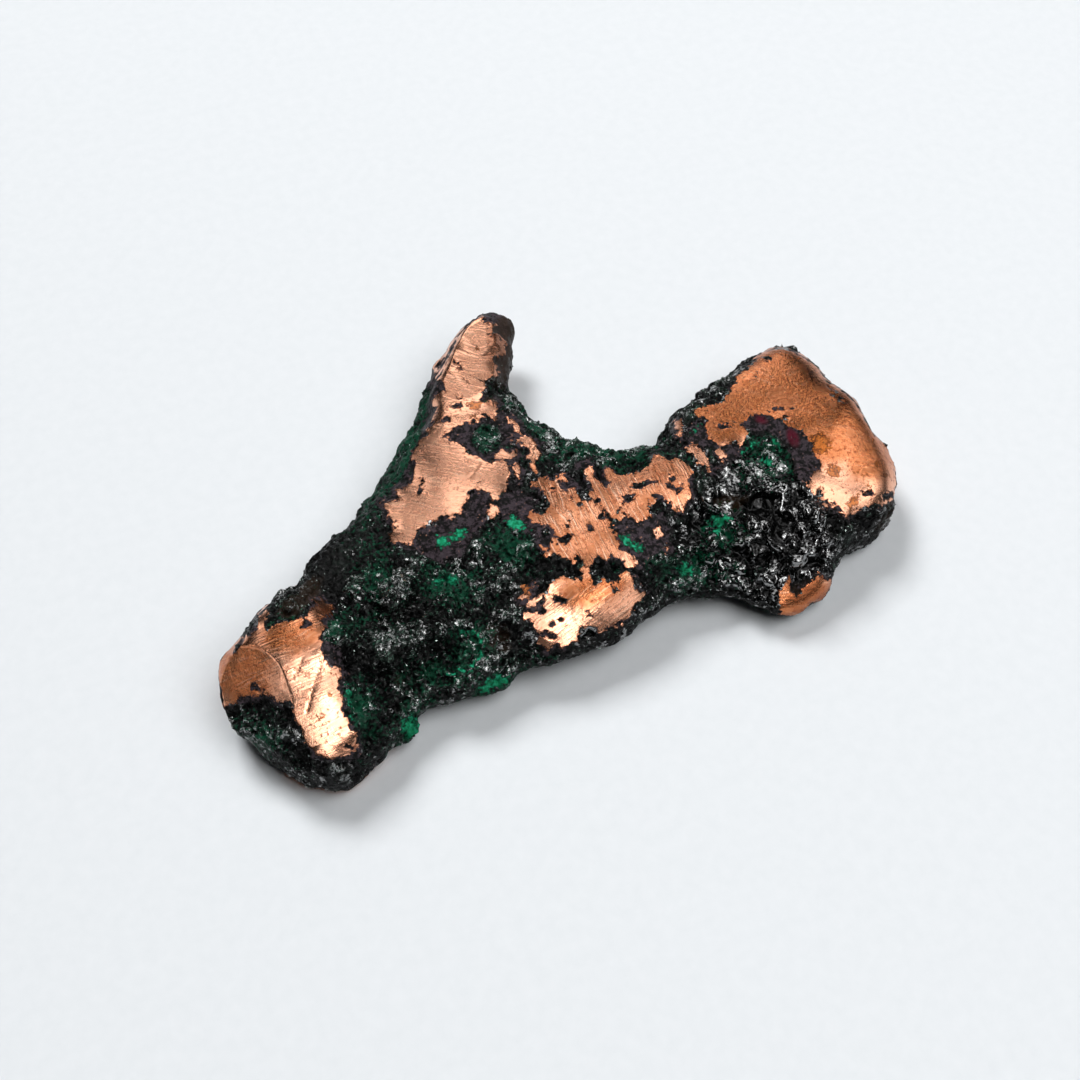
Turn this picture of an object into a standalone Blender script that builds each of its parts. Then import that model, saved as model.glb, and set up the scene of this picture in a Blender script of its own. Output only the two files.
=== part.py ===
"""A native copper nugget: one worn, branching lump of copper that carries its dark crust
and malachite fused to it.  Metres, +Z up; it lies on the plane z = 0, +X along its length.

Every list below is in millimetres, seen from above, and metres() turns it to Blender's unit.
"""

import math

import bmesh
import bpy
import numpy as np
from mathutils import Matrix, Vector, noise

NAME = "copper_nugget"
MILLIMETRE = 0.001

# Driving dimensions, in millimetres.
NUGGET_LENGTH = 82.0       # end to end along X
PLATE_TOP = 9.6            # the worn top of the middle, above the surface it lies on
LOBE_TOP = 12.2            # the top of the thick left lobe

# How finely the body is worked.
BLANK_HEIGHT = 8.0         # height of the plain slab that the form is worked from
WORKING_GRAIN = 0.8        # edge of the even facets while the form is worked
RIM_ROUNDING = 1.0         # how far the rim's upper and lower edges lean inwards
RIM_ROUNDING_REACH = 3.0   # how far in from the rim that lean is felt
STATION_SOFTNESS = 1.2     # how widely one station's value spreads before its neighbours'
TARGET_TRIANGLES = 8800

# The outline seen from above, clockwise from the horn's tip.
OUTLINE = [
    (3.2, 26.6), (6.0, 26.4), (7.4, 24.8), (6.0, 21.8), (4.4, 18.6), (3.0, 15.6),
    (3.4, 12.6), (4.6, 9.6), (6.4, 6.2), (9.4, 3.2), (12.8, 0.8), (16.0, 0.9),
    (18.4, 2.9), (22.8, 4.9), (28.2, 6.7), (33.2, 8.5), (36.2, 8.7), (38.4, 6.0),
    (39.2, 1.8), (40.4, -3.0), (41.0, -8.4), (40.8, -13.2), (38.9, -16.4), (36.0, -18.8),
    (32.0, -19.8), (29.4, -20.9), (27.7, -23.1), (24.2, -24.8), (20.6, -24.8),
    (18.0, -22.0), (13.6, -19.4), (9.6, -19.2), (5.0, -20.4), (0.0, -21.2), (-5.2, -21.7),
    (-10.6, -21.0), (-15.8, -21.8), (-20.6, -21.0), (-23.0, -22.0), (-26.2, -24.9),
    (-30.8, -26.0), (-34.6, -24.9), (-37.8, -20.9), (-40.2, -16.4), (-40.6, -12.6),
    (-39.3, -9.7), (-36.8, -8.3), (-34.2, -5.7), (-31.2, -3.2), (-27.3, 0.1),
    (-23.1, 3.9), (-18.9, 7.5), (-14.4, 11.0), (-10.5, 14.0), (-7.0, 17.8), (-5.4, 20.7),
    (-3.2, 22.6), (0.2, 24.9),
]

# The rim, station by station: (x, y, lower edge, upper edge, how far in the top takes to
# climb to its full height, how far in the underside takes to settle to its own).
RIM = [
    (6.0, 25.6, 3.6, 7.6, 3.2, 3.5),       # horn tip
    (5.0, 19.0, 3.0, 7.2, 2.0, 3.0),       # horn, side facing the bay
    (4.4, 9.5, 2.4, 5.8, 4.2, 3.0),        # back of the bay
    (11.0, 1.5, 2.2, 6.2, 3.6, 3.0),       # floor of the bay
    (20.0, 3.2, 2.0, 7.0, 2.4, 3.0),       # neck of the right lobe
    (35.5, 7.8, 2.6, 7.0, 2.0, 3.0),       # back tip of the right lobe
    (39.4, -2.0, 2.4, 7.0, 2.0, 2.6),      # right side
    (40.5, -12.5, 1.8, 6.6, 2.4, 2.2),     # right corner
    (35.5, -19.4, 0.7, 7.4, 1.6, 1.2),     # front wall of the right lobe
    (29.6, -21.3, 0.6, 6.0, 2.4, 1.2),     # where the knob leaves that wall
    (22.5, -25.4, 0.9, 4.0, 3.6, 1.6),     # knob
    (13.6, -20.0, 2.2, 4.6, 4.4, 3.2),     # front of the neck
    (1.0, -21.5, 2.4, 6.2, 3.2, 4.0),      # front lobe
    (-10.6, -21.6, 2.4, 5.0, 4.4, 4.0),    # front of the middle
    (-21.5, -21.6, 1.4, 4.8, 3.0, 2.4),    # notch beside the left lobe
    (-31.0, -26.4, 0.7, 5.6, 2.2, 1.3),    # left lobe, front
    (-38.4, -19.4, 1.2, 5.4, 3.0, 2.0),    # left lobe, corner
    (-40.5, -12.6, 2.4, 6.8, 2.4, 2.6),    # left end
    (-36.6, -7.6, 2.6, 9.0, 2.6, 3.0),     # left lobe, back
    (-29.6, -1.6, 1.4, 6.6, 4.4, 2.6),     # head of the long slope
    (-20.4, 4.8, 0.7, 2.8, 6.4, 2.0),      # long slope, middle
    (-12.0, 12.6, 0.7, 2.8, 5.6, 2.0),     # long slope, top
    (-5.8, 20.0, 2.2, 6.0, 2.6, 3.0),      # horn, outer side
    (0.0, 25.0, 3.2, 7.6, 2.4, 3.2),       # horn, towards the tip
]

# Heights of the top surface inside the rim: (x, y, z).
TOP = [
    (5.0, 24.0, 9.2), (0.6, 19.4, PLATE_TOP), (-4.4, 12.6, PLATE_TOP),
    (-2.6, 6.6, PLATE_TOP - 0.6), (-9.0, 2.4, PLATE_TOP), (-14.2, 2.4, PLATE_TOP - 0.9),
    (-15.4, -2.6, PLATE_TOP - 0.8), (-6.8, -2.0, PLATE_TOP), (5.2, 3.6, PLATE_TOP - 1.4),
    (3.2, -6.4, PLATE_TOP + 0.4), (12.4, -7.2, PLATE_TOP + 0.3), (3.8, -14.0, PLATE_TOP),
    (-1.2, -11.4, PLATE_TOP), (0.0, -17.8, PLATE_TOP - 0.8), (-3.4, -20.2, PLATE_TOP - 2.2),
    (5.4, -18.6, PLATE_TOP - 1.4), (-6.8, -18.0, PLATE_TOP - 2.0),
    (-12.0, -12.4, PLATE_TOP - 0.8), (-14.4, -18.2, PLATE_TOP - 2.6),
    (-18.8, -20.0, PLATE_TOP - 3.6), (-24.4, -6.0, PLATE_TOP - 1.2),
    (-23.8, -13.8, PLATE_TOP - 1.8), (-25.0, -20.4, PLATE_TOP - 3.4),
    (-31.0, -9.8, LOBE_TOP), (-29.2, -13.8, LOBE_TOP - 0.8), (-30.4, -18.6, LOBE_TOP - 2.4),
    (-31.4, -23.0, LOBE_TOP - 4.6), (-35.4, -14.0, LOBE_TOP - 0.8),
    (18.2, -5.0, PLATE_TOP), (22.8, -2.0, PLATE_TOP), (30.2, 1.2, PLATE_TOP - 0.2),
    (35.0, 6.0, PLATE_TOP - 1.0), (38.2, -12.4, PLATE_TOP - 1.8), (33.4, -7.0, PLATE_TOP - 0.4),
    (33.8, -13.8, PLATE_TOP - 1.2), (28.0, -4.8, PLATE_TOP - 0.4),
    (22.6, -13.8, PLATE_TOP + 0.2), (20.4, -17.4, PLATE_TOP - 1.0),
    (27.0, -16.8, PLATE_TOP - 0.8), (15.4, -17.4, PLATE_TOP - 2.8),
    (17.0, -20.4, PLATE_TOP - 4.4), (23.2, -23.4, PLATE_TOP - 4.6),
]

# Heights of the underside inside the rim: (x, y, z).  Below 0 it is pressed flat on the
# surface: those are the four worn feet that the nugget lies on.
UNDERSIDE = [
    (-31.0, -17.0, -0.7), (-33.0, -12.0, 0.2), (-24.0, -14.0, 0.9), (-17.0, 0.0, -0.5),
    (-12.0, -12.0, 1.5), (-10.0, 6.0, -0.4), (-3.0, 12.0, 1.0), (1.0, 19.0, 2.2),
    (4.8, 23.4, 3.0), (-2.0, -16.0, 2.2), (2.0, -4.0, 1.4), (12.0, -9.0, 1.4),
    (18.0, -2.0, 0.8), (22.0, -16.0, 0.3), (31.0, -14.0, -0.8), (30.0, 0.0, 0.8),
    (36.0, -4.0, 1.2), (24.0, -22.0, 0.4),
]

# Lumps that stand out of the crust: (x, y, z of the centre, radius, flattening).
LUMPS = [
    (17.6, -11.4, 8.6, 2.0, 0.8), (22.4, -12.4, 9.0, 2.4, 0.7), (20.2, -16.6, 7.8, 2.5, 0.8),
    (26.8, -16.8, 8.0, 2.3, 0.8), (23.6, -19.4, 6.4, 2.4, 0.8), (28.4, -12.6, 8.6, 2.0, 0.7),
    (15.2, -16.2, 7.0, 2.0, 0.8), (29.6, -18.2, 6.4, 2.2, 0.8),
    (-22.0, -16.4, 7.0, 2.0, 0.8), (-16.4, -14.6, 7.6, 2.2, 0.7), (-19.6, -9.6, 8.0, 2.2, 0.7),
    (-11.4, -15.8, 7.4, 2.0, 0.8), (-35.6, -19.2, 6.4, 2.6, 0.9), (-26.4, -20.6, 5.8, 2.2, 0.9),
    (-13.6, -19.6, 4.6, 2.2, 0.8),
]

# Flakes of malachite that jut from under the front edge:
# (x, y, z of the centre, half length, half width, half thickness, turn in degrees).
FLAKES = [
    (-23.6, -22.8, 2.2, 1.9, 1.3, 0.8, 58.0),
    (-12.6, -21.0, 2.6, 3.0, 1.1, 0.9, 6.0),
]

# Pits eaten into the body: (x, y, z of the centre, radius, depth).
PITS = [
    (-2.8, 6.4, PLATE_TOP, 2.2, 0.7), (24.6, -7.6, PLATE_TOP, 2.6, 1.0),
    (16.4, -20.6, 5.0, 1.8, 0.9), (-38.6, -10.6, 6.0, 0.9, 0.5), (4.6, 2.4, 8.0, 1.6, 0.6),
    (13.8, -13.2, PLATE_TOP, 2.0, 0.7), (-21.4, -18.4, 6.6, 2.2, 0.9),
    (-26.6, -10.0, 9.0, 2.0, 0.7),
]

# Copper worn smooth: (x, y, half length, half width, turn in degrees).
WORN = [
    (0.0, 18.4, 7.6, 3.4, 58.0), (-9.4, 3.6, 9.6, 4.2, 52.0), (5.6, -8.8, 8.6, 5.2, -8.0),
    (0.0, -18.0, 6.2, 3.0, 8.0), (-31.4, -15.6, 7.4, 4.6, 78.0), (29.6, 1.6, 8.6, 4.2, 28.0),
    (35.4, -8.6, 7.6, 4.2, 102.0), (23.4, -24.0, 2.6, 1.8, 12.0), (15.4, -6.2, 4.4, 2.6, 20.0),
]

# The end of the left lobe is worn to one plane: a point on it, and the way that it faces.
END_FACET_POINT = (-36.2, -13.0, 10.4)
END_FACET_NORMAL = (-0.62, -0.30, 0.72)

# The feet are pressed flat on the surface that the nugget lies on.
SURFACE_POINT = (0.0, 0.0, 0.0)
DOWNWARDS = (0.0, 0.0, -1.0)

# Crust relief, coarse to fine: (size of a lump, how far it stands out of the mean).
CRUST_RELIEF = [(5.5, 0.80), (2.4, 0.54), (1.5, 0.26)]
WORN_RELIEF = 0.22         # share of the coarse relief that the worn copper keeps
WORN_EDGE = 0.4            # width of the soft edge of a worn place, as a share of its size
RANDOM_SHIFT = Vector((13.7, 41.2, 7.9))


def metres(*millimetres):
    """Millimetres as a vector in metres."""
    return Vector(millimetres) * MILLIMETRE


def clear_scene():
    """Start from an empty scene."""
    for thing in list(bpy.data.objects):
        bpy.data.objects.remove(thing)


def nugget_material():
    """Worn native copper."""
    material = bpy.data.materials.new("native_copper")
    material.use_nodes = True
    shader = material.node_tree.nodes["Principled BSDF"]
    shader.inputs["Base Color"].default_value = (0.56, 0.24, 0.14, 1.0)
    shader.inputs["Metallic"].default_value = 0.9
    shader.inputs["Roughness"].default_value = 0.4
    return material


def link(mesh, name, collection):
    """Put a mesh in a collection as a new object."""
    thing = bpy.data.objects.new(name, mesh)
    collection.objects.link(thing)
    return thing


def evaluated_mesh(thing):
    """The mesh of an object with its modifiers worked out."""
    graph = bpy.context.evaluated_depsgraph_get()
    graph.update()
    return bpy.data.meshes.new_from_object(thing.evaluated_get(graph))


def outline_curve(collection):
    """The outline as a filled, extruded curve: the blank that the nugget is worked from."""
    curve = bpy.data.curves.new("outline", "CURVE")
    curve.dimensions = "2D"
    curve.fill_mode = "BOTH"
    curve.resolution_u = 6
    curve.extrude = BLANK_HEIGHT * MILLIMETRE / 2
    spline = curve.splines.new("BEZIER")
    spline.bezier_points.add(len(OUTLINE) - 1)
    spline.use_cyclic_u = True
    for point, (x, y) in zip(spline.bezier_points, OUTLINE):
        point.co = metres(x, y, 0)
        point.handle_left_type = "AUTO"
        point.handle_right_type = "AUTO"
    return link(curve, "outline", collection)


def blank_object(collection):
    """The extruded outline, remeshed to small even facets."""
    guide = outline_curve(collection)
    mesh = evaluated_mesh(guide)
    bpy.data.objects.remove(guide)
    weld(mesh)
    blank = link(mesh, NAME, collection)
    remesh(blank, WORKING_GRAIN)
    return blank


def weld(mesh):
    """Close the seams between a curve's caps and its wall."""
    work = bmesh.new()
    work.from_mesh(mesh)
    bmesh.ops.remove_doubles(work, verts=work.verts, dist=MILLIMETRE / 100)
    bmesh.ops.recalc_face_normals(work, faces=work.faces)
    work.to_mesh(mesh)
    work.free()


def bake_modifiers(thing):
    """Replace an object's mesh by what its modifiers make of it."""
    mesh = evaluated_mesh(thing)
    thing.modifiers.clear()
    thing.data = mesh


def remesh(thing, size):
    """Fuse an object's overlapping shells and give it even facets of this size."""
    modifier = thing.modifiers.new("Even facets", "REMESH")
    modifier.mode = "VOXEL"
    modifier.voxel_size = size * MILLIMETRE
    bake_modifiers(thing)


def read_points(mesh):
    """A mesh's points as an array in millimetres."""
    flat = np.empty(len(mesh.vertices) * 3, dtype=np.float32)
    mesh.vertices.foreach_get("co", flat)
    return flat.reshape(-1, 3).astype(float) / MILLIMETRE


def write_points(mesh, points):
    """Put an array of points in millimetres back into a mesh."""
    mesh.vertices.foreach_set("co", (points * MILLIMETRE).astype(np.float32).ravel())
    mesh.update()


def read_normals(mesh):
    """A mesh's point normals as an array."""
    return np.array([tuple(vertex.normal) for vertex in mesh.vertices])


def near_average(points, stations, nearness):
    """Average the stations' values at each point; the nearer count more as nearness grows."""
    stations = np.array(stations)
    gaps = np.hypot(
        points[:, None, 0] - stations[None, :, 0],
        points[:, None, 1] - stations[None, :, 1],
    )
    weights = 1.0 / (gaps + STATION_SOFTNESS) ** nearness
    return weights @ stations[:, 2:] / weights.sum(axis=1, keepdims=True)


def rim_distance(points, ring):
    """How far each point is from the outline, seen from above."""
    along = np.roll(ring, -1, axis=0) - ring
    offset = points[:, None, :2] - ring[None]
    share = (offset * along).sum(axis=2) / (along**2).sum(axis=1)
    nearest = ring + np.clip(share, 0, 1)[..., None] * along
    return np.linalg.norm(points[:, None, :2] - nearest, axis=2).min(axis=1)


def outward(points, ring):
    """The outline's outward direction beside each point, seen from above."""
    along = np.roll(ring, -1, axis=0) - np.roll(ring, 1, axis=0)
    along /= np.linalg.norm(along, axis=1, keepdims=True)
    facing = np.stack([-along[:, 1], along[:, 0]], axis=1)
    turned = near_average(points, np.hstack([ring, facing]), nearness=4.0)
    return turned / np.linalg.norm(turned, axis=1, keepdims=True)


def ease(distance, reach):
    """Climb from 0 at the rim to 1 at the reach, steeply first and then levelling off."""
    share = np.clip(distance / reach, 0.0, 1.0)
    return 1.0 - (1.0 - share) ** 2


def work_form(blank):
    """Turn the plain slab into the nugget's own heights, hollows and rim."""
    points = read_points(blank.data)
    ring = np.array(OUTLINE)
    distance = rim_distance(points, ring)
    low, high, climb, settle = near_average(points, RIM, nearness=4.0).T
    top = near_average(points, TOP, nearness=3.5)[:, 0]
    underside = near_average(points, UNDERSIDE, nearness=3.0)[:, 0]
    top = high + (top - high) * ease(distance, climb)
    underside = low + (underside - low) * ease(distance, settle)
    share = points[:, 2] / BLANK_HEIGHT + 0.5
    lean = RIM_ROUNDING * (2 * share - 1) ** 4 * np.exp(-distance / RIM_ROUNDING_REACH)
    points[:, :2] -= lean[:, None] * outward(points, ring)
    points[:, 2] = underside + share * (top - underside)
    write_points(blank.data, points)


def add_lumps(body):
    """Fuse the crust's lumps and the malachite flakes into the body."""
    work = bmesh.new()
    work.from_mesh(body.data)
    for x, y, z, radius, flattening in LUMPS:
        place = Matrix.Translation(metres(x, y, z)) @ Matrix.Diagonal((1, 1, flattening, 1))
        bmesh.ops.create_icosphere(
            work, subdivisions=2, radius=radius * MILLIMETRE, matrix=place)
    for x, y, z, length, width, thickness, turn in FLAKES:
        place = (
            Matrix.Translation(metres(x, y, z))
            @ Matrix.Rotation(math.radians(turn), 4, "Z")
            @ Matrix.Diagonal((length, width, thickness, 1))
        )
        bmesh.ops.create_icosphere(work, subdivisions=2, radius=MILLIMETRE, matrix=place)
    work.to_mesh(body.data)
    work.free()
    remesh(body, WORKING_GRAIN)


def worn_share(points):
    """1 on the copper that is worn smooth, 0 on the crust, and soft between."""
    worn = np.zeros(len(points))
    for x, y, length, width, turn in WORN:
        angle = math.radians(turn)
        right = points[:, 0] - x
        ahead = points[:, 1] - y
        along = (right * math.cos(angle) + ahead * math.sin(angle)) / length
        across = (ahead * math.cos(angle) - right * math.sin(angle)) / width
        inside = (1.0 + WORN_EDGE / 2 - np.hypot(along, across)) / WORN_EDGE
        worn = np.maximum(worn, np.clip(inside, 0, 1))
    return worn


def add_relief(body):
    """Roughen the crust, and eat the pits into it."""
    points = read_points(body.data)
    normals = read_normals(body.data)
    worn = worn_share(points) * np.clip(normals[:, 2] * 2, 0, 1)
    push = np.zeros(len(points))
    for step, (size, height) in enumerate(CRUST_RELIEF):
        waves = np.array([
            noise.noise(Vector(point) / size + RANDOM_SHIFT * (step + 1)) for point in points])
        kept = 1 - worn * (1 - WORN_RELIEF if step == 0 else 1)
        push += height * waves * kept
    for x, y, z, radius, depth in PITS:
        gap = np.linalg.norm(points - (x, y, z), axis=1) / radius
        push -= depth * np.clip(1 - gap**2, 0, 1)
    points += normals * push[:, None]
    write_points(body.data, points)


def thin_out(body):
    """Keep only the facets that the form needs."""
    body.data.calc_loop_triangles()
    modifier = body.modifiers.new("Fewer facets", "DECIMATE")
    modifier.ratio = TARGET_TRIANGLES / len(body.data.loop_triangles)
    bake_modifiers(body)


def wear_flat(body, point, normal):
    """Wear away what stands beyond a plane, as rubbing does."""
    points = read_points(body.data)
    facing = np.array(Vector(normal).normalized())
    beyond = np.maximum((points - np.array(point)) @ facing, 0.0)
    points -= beyond[:, None] * facing
    write_points(body.data, points)


def settle_in_place(body):
    """Give the nugget its length, and centre it over the origin, on its feet."""
    points = read_points(body.data)
    low = points.min(axis=0)
    high = points.max(axis=0)
    middle = (low + high) / 2
    points -= (middle[0], middle[1], low[2])
    write_points(body.data, points * NUGGET_LENGTH / (high[0] - low[0]))


def build_nugget():
    """Make the nugget in a collection of its own."""
    collection = bpy.data.collections.new(NAME)
    bpy.context.scene.collection.children.link(collection)
    body = blank_object(collection)
    work_form(body)
    add_lumps(body)
    add_relief(body)
    thin_out(body)
    wear_flat(body, END_FACET_POINT, END_FACET_NORMAL)
    wear_flat(body, SURFACE_POINT, DOWNWARDS)
    settle_in_place(body)
    body.data.materials.append(nugget_material())
    body.data.shade_smooth()
    return body


clear_scene()
build_nugget()
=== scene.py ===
# %% [markdown]
# # A native copper nugget
# Native copper grows as branching metal inside rock, where its surface turns to cuprite, tenorite and
# malachite.  When the lump is freed and rubbed, its high faces wear back to bare metal, and the crust
# stays in the lows.  This notebook dresses the plain solid of such a nugget: a fine skin with the worn
# copper and the rough crust in one mesh, and a druse of small crystals that stand out of the crust.

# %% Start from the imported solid
import math

import bpy
import numpy as np
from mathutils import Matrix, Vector, noise


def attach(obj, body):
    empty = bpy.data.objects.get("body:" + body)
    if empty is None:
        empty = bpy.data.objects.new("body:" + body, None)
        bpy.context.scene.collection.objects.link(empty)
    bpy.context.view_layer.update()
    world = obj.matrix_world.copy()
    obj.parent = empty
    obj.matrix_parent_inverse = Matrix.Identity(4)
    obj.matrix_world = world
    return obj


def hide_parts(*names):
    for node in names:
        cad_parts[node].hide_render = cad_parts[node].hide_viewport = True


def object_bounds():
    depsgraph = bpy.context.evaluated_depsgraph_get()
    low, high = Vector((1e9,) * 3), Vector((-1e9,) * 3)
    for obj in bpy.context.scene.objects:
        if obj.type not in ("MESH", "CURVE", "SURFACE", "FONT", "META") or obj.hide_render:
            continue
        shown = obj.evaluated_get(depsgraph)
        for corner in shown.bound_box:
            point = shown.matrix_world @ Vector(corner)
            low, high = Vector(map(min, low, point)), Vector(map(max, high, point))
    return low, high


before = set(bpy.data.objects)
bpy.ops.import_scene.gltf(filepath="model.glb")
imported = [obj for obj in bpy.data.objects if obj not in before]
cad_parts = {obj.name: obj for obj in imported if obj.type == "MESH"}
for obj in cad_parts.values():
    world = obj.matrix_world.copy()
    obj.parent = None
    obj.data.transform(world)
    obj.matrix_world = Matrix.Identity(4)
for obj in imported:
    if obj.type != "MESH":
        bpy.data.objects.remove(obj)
CAD_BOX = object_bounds()
MM = 0.001
print("solid, in millimetres:", [round(side / MM, 1) for side in CAD_BOX[1] - CAD_BOX[0]])

# %% [markdown]
# ## The sheet that the markings are drawn on
# No rule says where the copper is bare, so the edges of the copper, the film and the malachite are
# drawn one by one.  They are drawn as on a sheet of glass held in front of the nugget, square to one
# fixed line of sight that looks down on it from the front, a little from the left.  Each point of the
# surface is looked up on the sheet in perspective.  This is the way a decal is projected: the place
# of a marking is worked out once, on the mesh, so it stays put from every side.

# %% The fixed line of sight
SHEET_SIDE = 1080.0
SHEET_LENS = 50.0
SHEET_SENSOR = 36.0
SHEET_AZIMUTH = math.radians(-22.0)
SHEET_ELEVATION = math.radians(55.0)
EYE_DISTANCE = 170.0 * MM
SHEET_AIM = Vector((-2.1, -6.9, 5.0)) * MM

sight_back = Vector((
    math.sin(SHEET_AZIMUTH) * math.cos(SHEET_ELEVATION),
    -math.cos(SHEET_AZIMUTH) * math.cos(SHEET_ELEVATION),
    math.sin(SHEET_ELEVATION),
))
sight_right = Vector((math.cos(SHEET_AZIMUTH), math.sin(SHEET_AZIMUTH), 0.0))
sight_up = sight_back.cross(sight_right)
sight_eye = SHEET_AIM + sight_back * EYE_DISTANCE
SHEET_SCALE = SHEET_SIDE * SHEET_LENS / SHEET_SENSOR
UNITS_PER_MM = SHEET_SCALE * MM / EYE_DISTANCE
print("sheet units to a millimetre:", round(UNITS_PER_MM, 2))


def on_sheet(points):
    """Where points of the surface, in metres, fall on the sheet."""
    offset = points - np.array(sight_eye)
    ahead = -(offset @ np.array(sight_back))
    across = SHEET_SIDE / 2 + SHEET_SCALE * (offset @ np.array(sight_right)) / ahead
    down = SHEET_SIDE / 2 - SHEET_SCALE * (offset @ np.array(sight_up)) / ahead
    return np.stack([across, down], axis=1)


# %% [markdown]
# ## The edges of the bare copper
# Each list goes round one island of worn metal.  The edges are ragged because the crust breaks away
# in flakes, so the corners are part of the look and are drawn one by one.

# %% Outlines of the worn copper
HORN_COPPER = [
    (480, 315), (489, 320), (496, 324), (492, 334), (500, 336), (505, 342), (505, 350), (503, 356),
    (494, 358), (496, 366), (499, 376), (487, 377), (481, 389), (484, 400), (497, 402), (499, 413),
    (495, 418), (485, 413), (478, 420), (463, 424), (455, 428), (444, 435), (452, 440), (462, 445),
    (470, 455), (480, 458), (492, 463), (503, 459), (508, 462), (510, 470), (507, 490), (501, 493),
    (497, 500), (491, 496), (485, 490), (477, 487), (470, 492), (465, 500), (463, 510), (458, 515),
    (450, 517), (445, 515), (437, 518), (433, 523), (418, 527), (415, 533), (417, 540), (412, 546),
    (400, 542), (393, 541), (389, 537), (392, 532), (396, 527), (387, 517), (389, 510), (380, 503),
    (398, 500), (399, 490), (411, 483), (415, 470), (416, 463), (410, 458), (412, 450), (427, 435),
    (428, 428), (433, 420), (437, 409), (432, 401), (440, 393), (445, 388), (443, 382), (434, 377),
    (438, 373), (424, 366), (420, 352), (430, 340), (441, 328), (455, 313), (468, 306),
]
PLATE_COPPER = [
    (532, 485), (540, 478), (545, 476), (552, 480), (556, 475), (563, 472), (567, 478), (570, 488),
    (575, 487), (579, 495), (580, 500), (590, 500), (592, 492), (594, 485), (589, 478), (581, 467),
    (587, 465), (592, 466), (597, 480), (603, 485), (607, 487), (610, 482), (604, 475), (605, 470),
    (612, 470), (618, 475), (632, 474), (647, 470), (653, 462), (654, 455), (658, 453), (663, 457),
    (668, 460), (675, 457), (682, 460), (690, 466), (693, 470), (690, 478), (690, 490), (686, 505),
    (683, 512), (676, 510), (667, 500), (660, 495), (652, 503), (648, 510), (650, 515), (645, 518),
    (635, 519), (625, 515), (618, 520), (612, 526), (617, 541), (622, 548), (634, 556), (638, 561),
    (636, 566), (627, 570), (624, 563), (614, 555), (606, 560), (600, 557), (595, 558), (592, 565),
    (587, 567), (583, 560), (578, 555), (574, 556), (577, 563), (573, 565), (562, 555), (551, 550),
    (549, 545), (555, 537), (554, 530), (550, 524), (545, 522), (539, 525), (530, 517), (527, 513),
    (530, 510), (541, 514), (546, 510), (550, 500), (543, 493), (538, 488),
]
FRONT_COPPER = [
    (548, 592), (553, 584), (560, 578), (566, 576), (583, 582), (582, 570), (583, 567), (588, 567),
    (590, 577), (593, 585), (597, 588), (603, 581), (610, 585), (616, 592), (619, 591), (615, 582),
    (618, 577), (624, 575), (627, 569), (634, 583), (636, 590), (645, 593), (643, 600), (637, 604),
    (631, 615), (621, 627), (612, 630), (603, 632), (590, 627), (580, 628), (577, 640), (568, 645),
    (560, 648), (556, 643), (548, 650), (536, 640), (540, 634), (532, 620), (522, 618), (524, 613),
    (530, 611), (543, 612), (540, 605), (544, 598),
]
END_COPPER = [
    (218, 650), (234, 643), (248, 634), (254, 633), (258, 614), (262, 607), (267, 604), (268, 610),
    (263, 625), (267, 630), (280, 623), (295, 621), (308, 615), (317, 606), (315, 600), (318, 595),
    (325, 606), (332, 604), (334, 608), (330, 613), (321, 618), (326, 627), (320, 637), (323, 642),
    (322, 655), (331, 666), (340, 668), (341, 673), (347, 674), (342, 678), (337, 680), (341, 696),
    (343, 703), (342, 710), (350, 728), (357, 735), (358, 745), (356, 750), (345, 756), (325, 757),
    (317, 754), (304, 741), (300, 728), (288, 702), (273, 702), (270, 698), (255, 695), (240, 696),
    (231, 703), (220, 708), (206, 702), (202, 670), (208, 654),
]
RIGHT_COPPER = [
    (694, 409), (707, 404), (725, 400), (728, 392), (737, 380), (735, 375), (747, 370), (750, 364),
    (757, 356), (766, 346), (778, 334), (796, 336), (814, 346), (832, 362), (850, 378), (866, 394),
    (880, 410), (892, 428), (902, 448), (908, 468), (908, 482), (898, 495), (886, 504), (870, 505),
    (862, 508), (852, 513), (845, 517), (842, 512), (838, 506), (825, 507), (820, 500), (812, 492),
    (807, 486), (811, 480), (816, 470), (821, 468), (815, 455), (813, 445), (808, 437), (802, 430),
    (787, 424), (780, 418), (770, 414), (750, 415), (745, 421), (742, 425), (747, 430), (745, 440),
    (742, 445), (733, 441), (725, 443), (722, 447), (724, 455), (722, 462), (715, 452), (718, 445),
    (706, 435), (708, 430), (707, 422), (704, 417), (698, 417),
]
KNOB_COPPER = [
    (779, 608), (779, 598), (780, 590), (784, 582), (789, 580), (790, 590), (797, 601), (803, 588),
    (808, 583), (815, 578), (819, 573), (824, 577), (832, 580), (834, 590), (823, 606), (806, 618),
    (790, 622), (780, 618),
]
ISLET_COPPER = [
    [(508, 418), (513, 420), (518, 428), (522, 435), (517, 432), (511, 426)],
    [(510, 438), (528, 437), (535, 443), (541, 450), (540, 457), (535, 462), (538, 470), (533, 471),
     (529, 463), (527, 457), (530, 445), (522, 445)],
    [(502, 450), (508, 452), (515, 450), (518, 456), (510, 460), (496, 458)],
    [(675, 420), (681, 419), (684, 428), (682, 436), (677, 434)],
    [(686, 447), (698, 443), (700, 450), (705, 455), (711, 471), (704, 466), (696, 463), (694, 455)],
    [(511, 466), (518, 464), (522, 472), (518, 480), (512, 470)],
    [(540, 545), (546, 546), (552, 553), (548, 556), (542, 551)],
    [(491, 505), (497, 503), (498, 512), (494, 520), (488, 516)],
    [(655, 530), (660, 527), (663, 535), (658, 538)], [(662, 543), (666, 544), (668, 551), (664, 549)],
    [(516, 597), (529, 591), (532, 595), (519, 602)], [(520, 587), (537, 580), (540, 584), (524, 592)],
    [(526, 604), (541, 595), (543, 599), (529, 608)],
]
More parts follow.
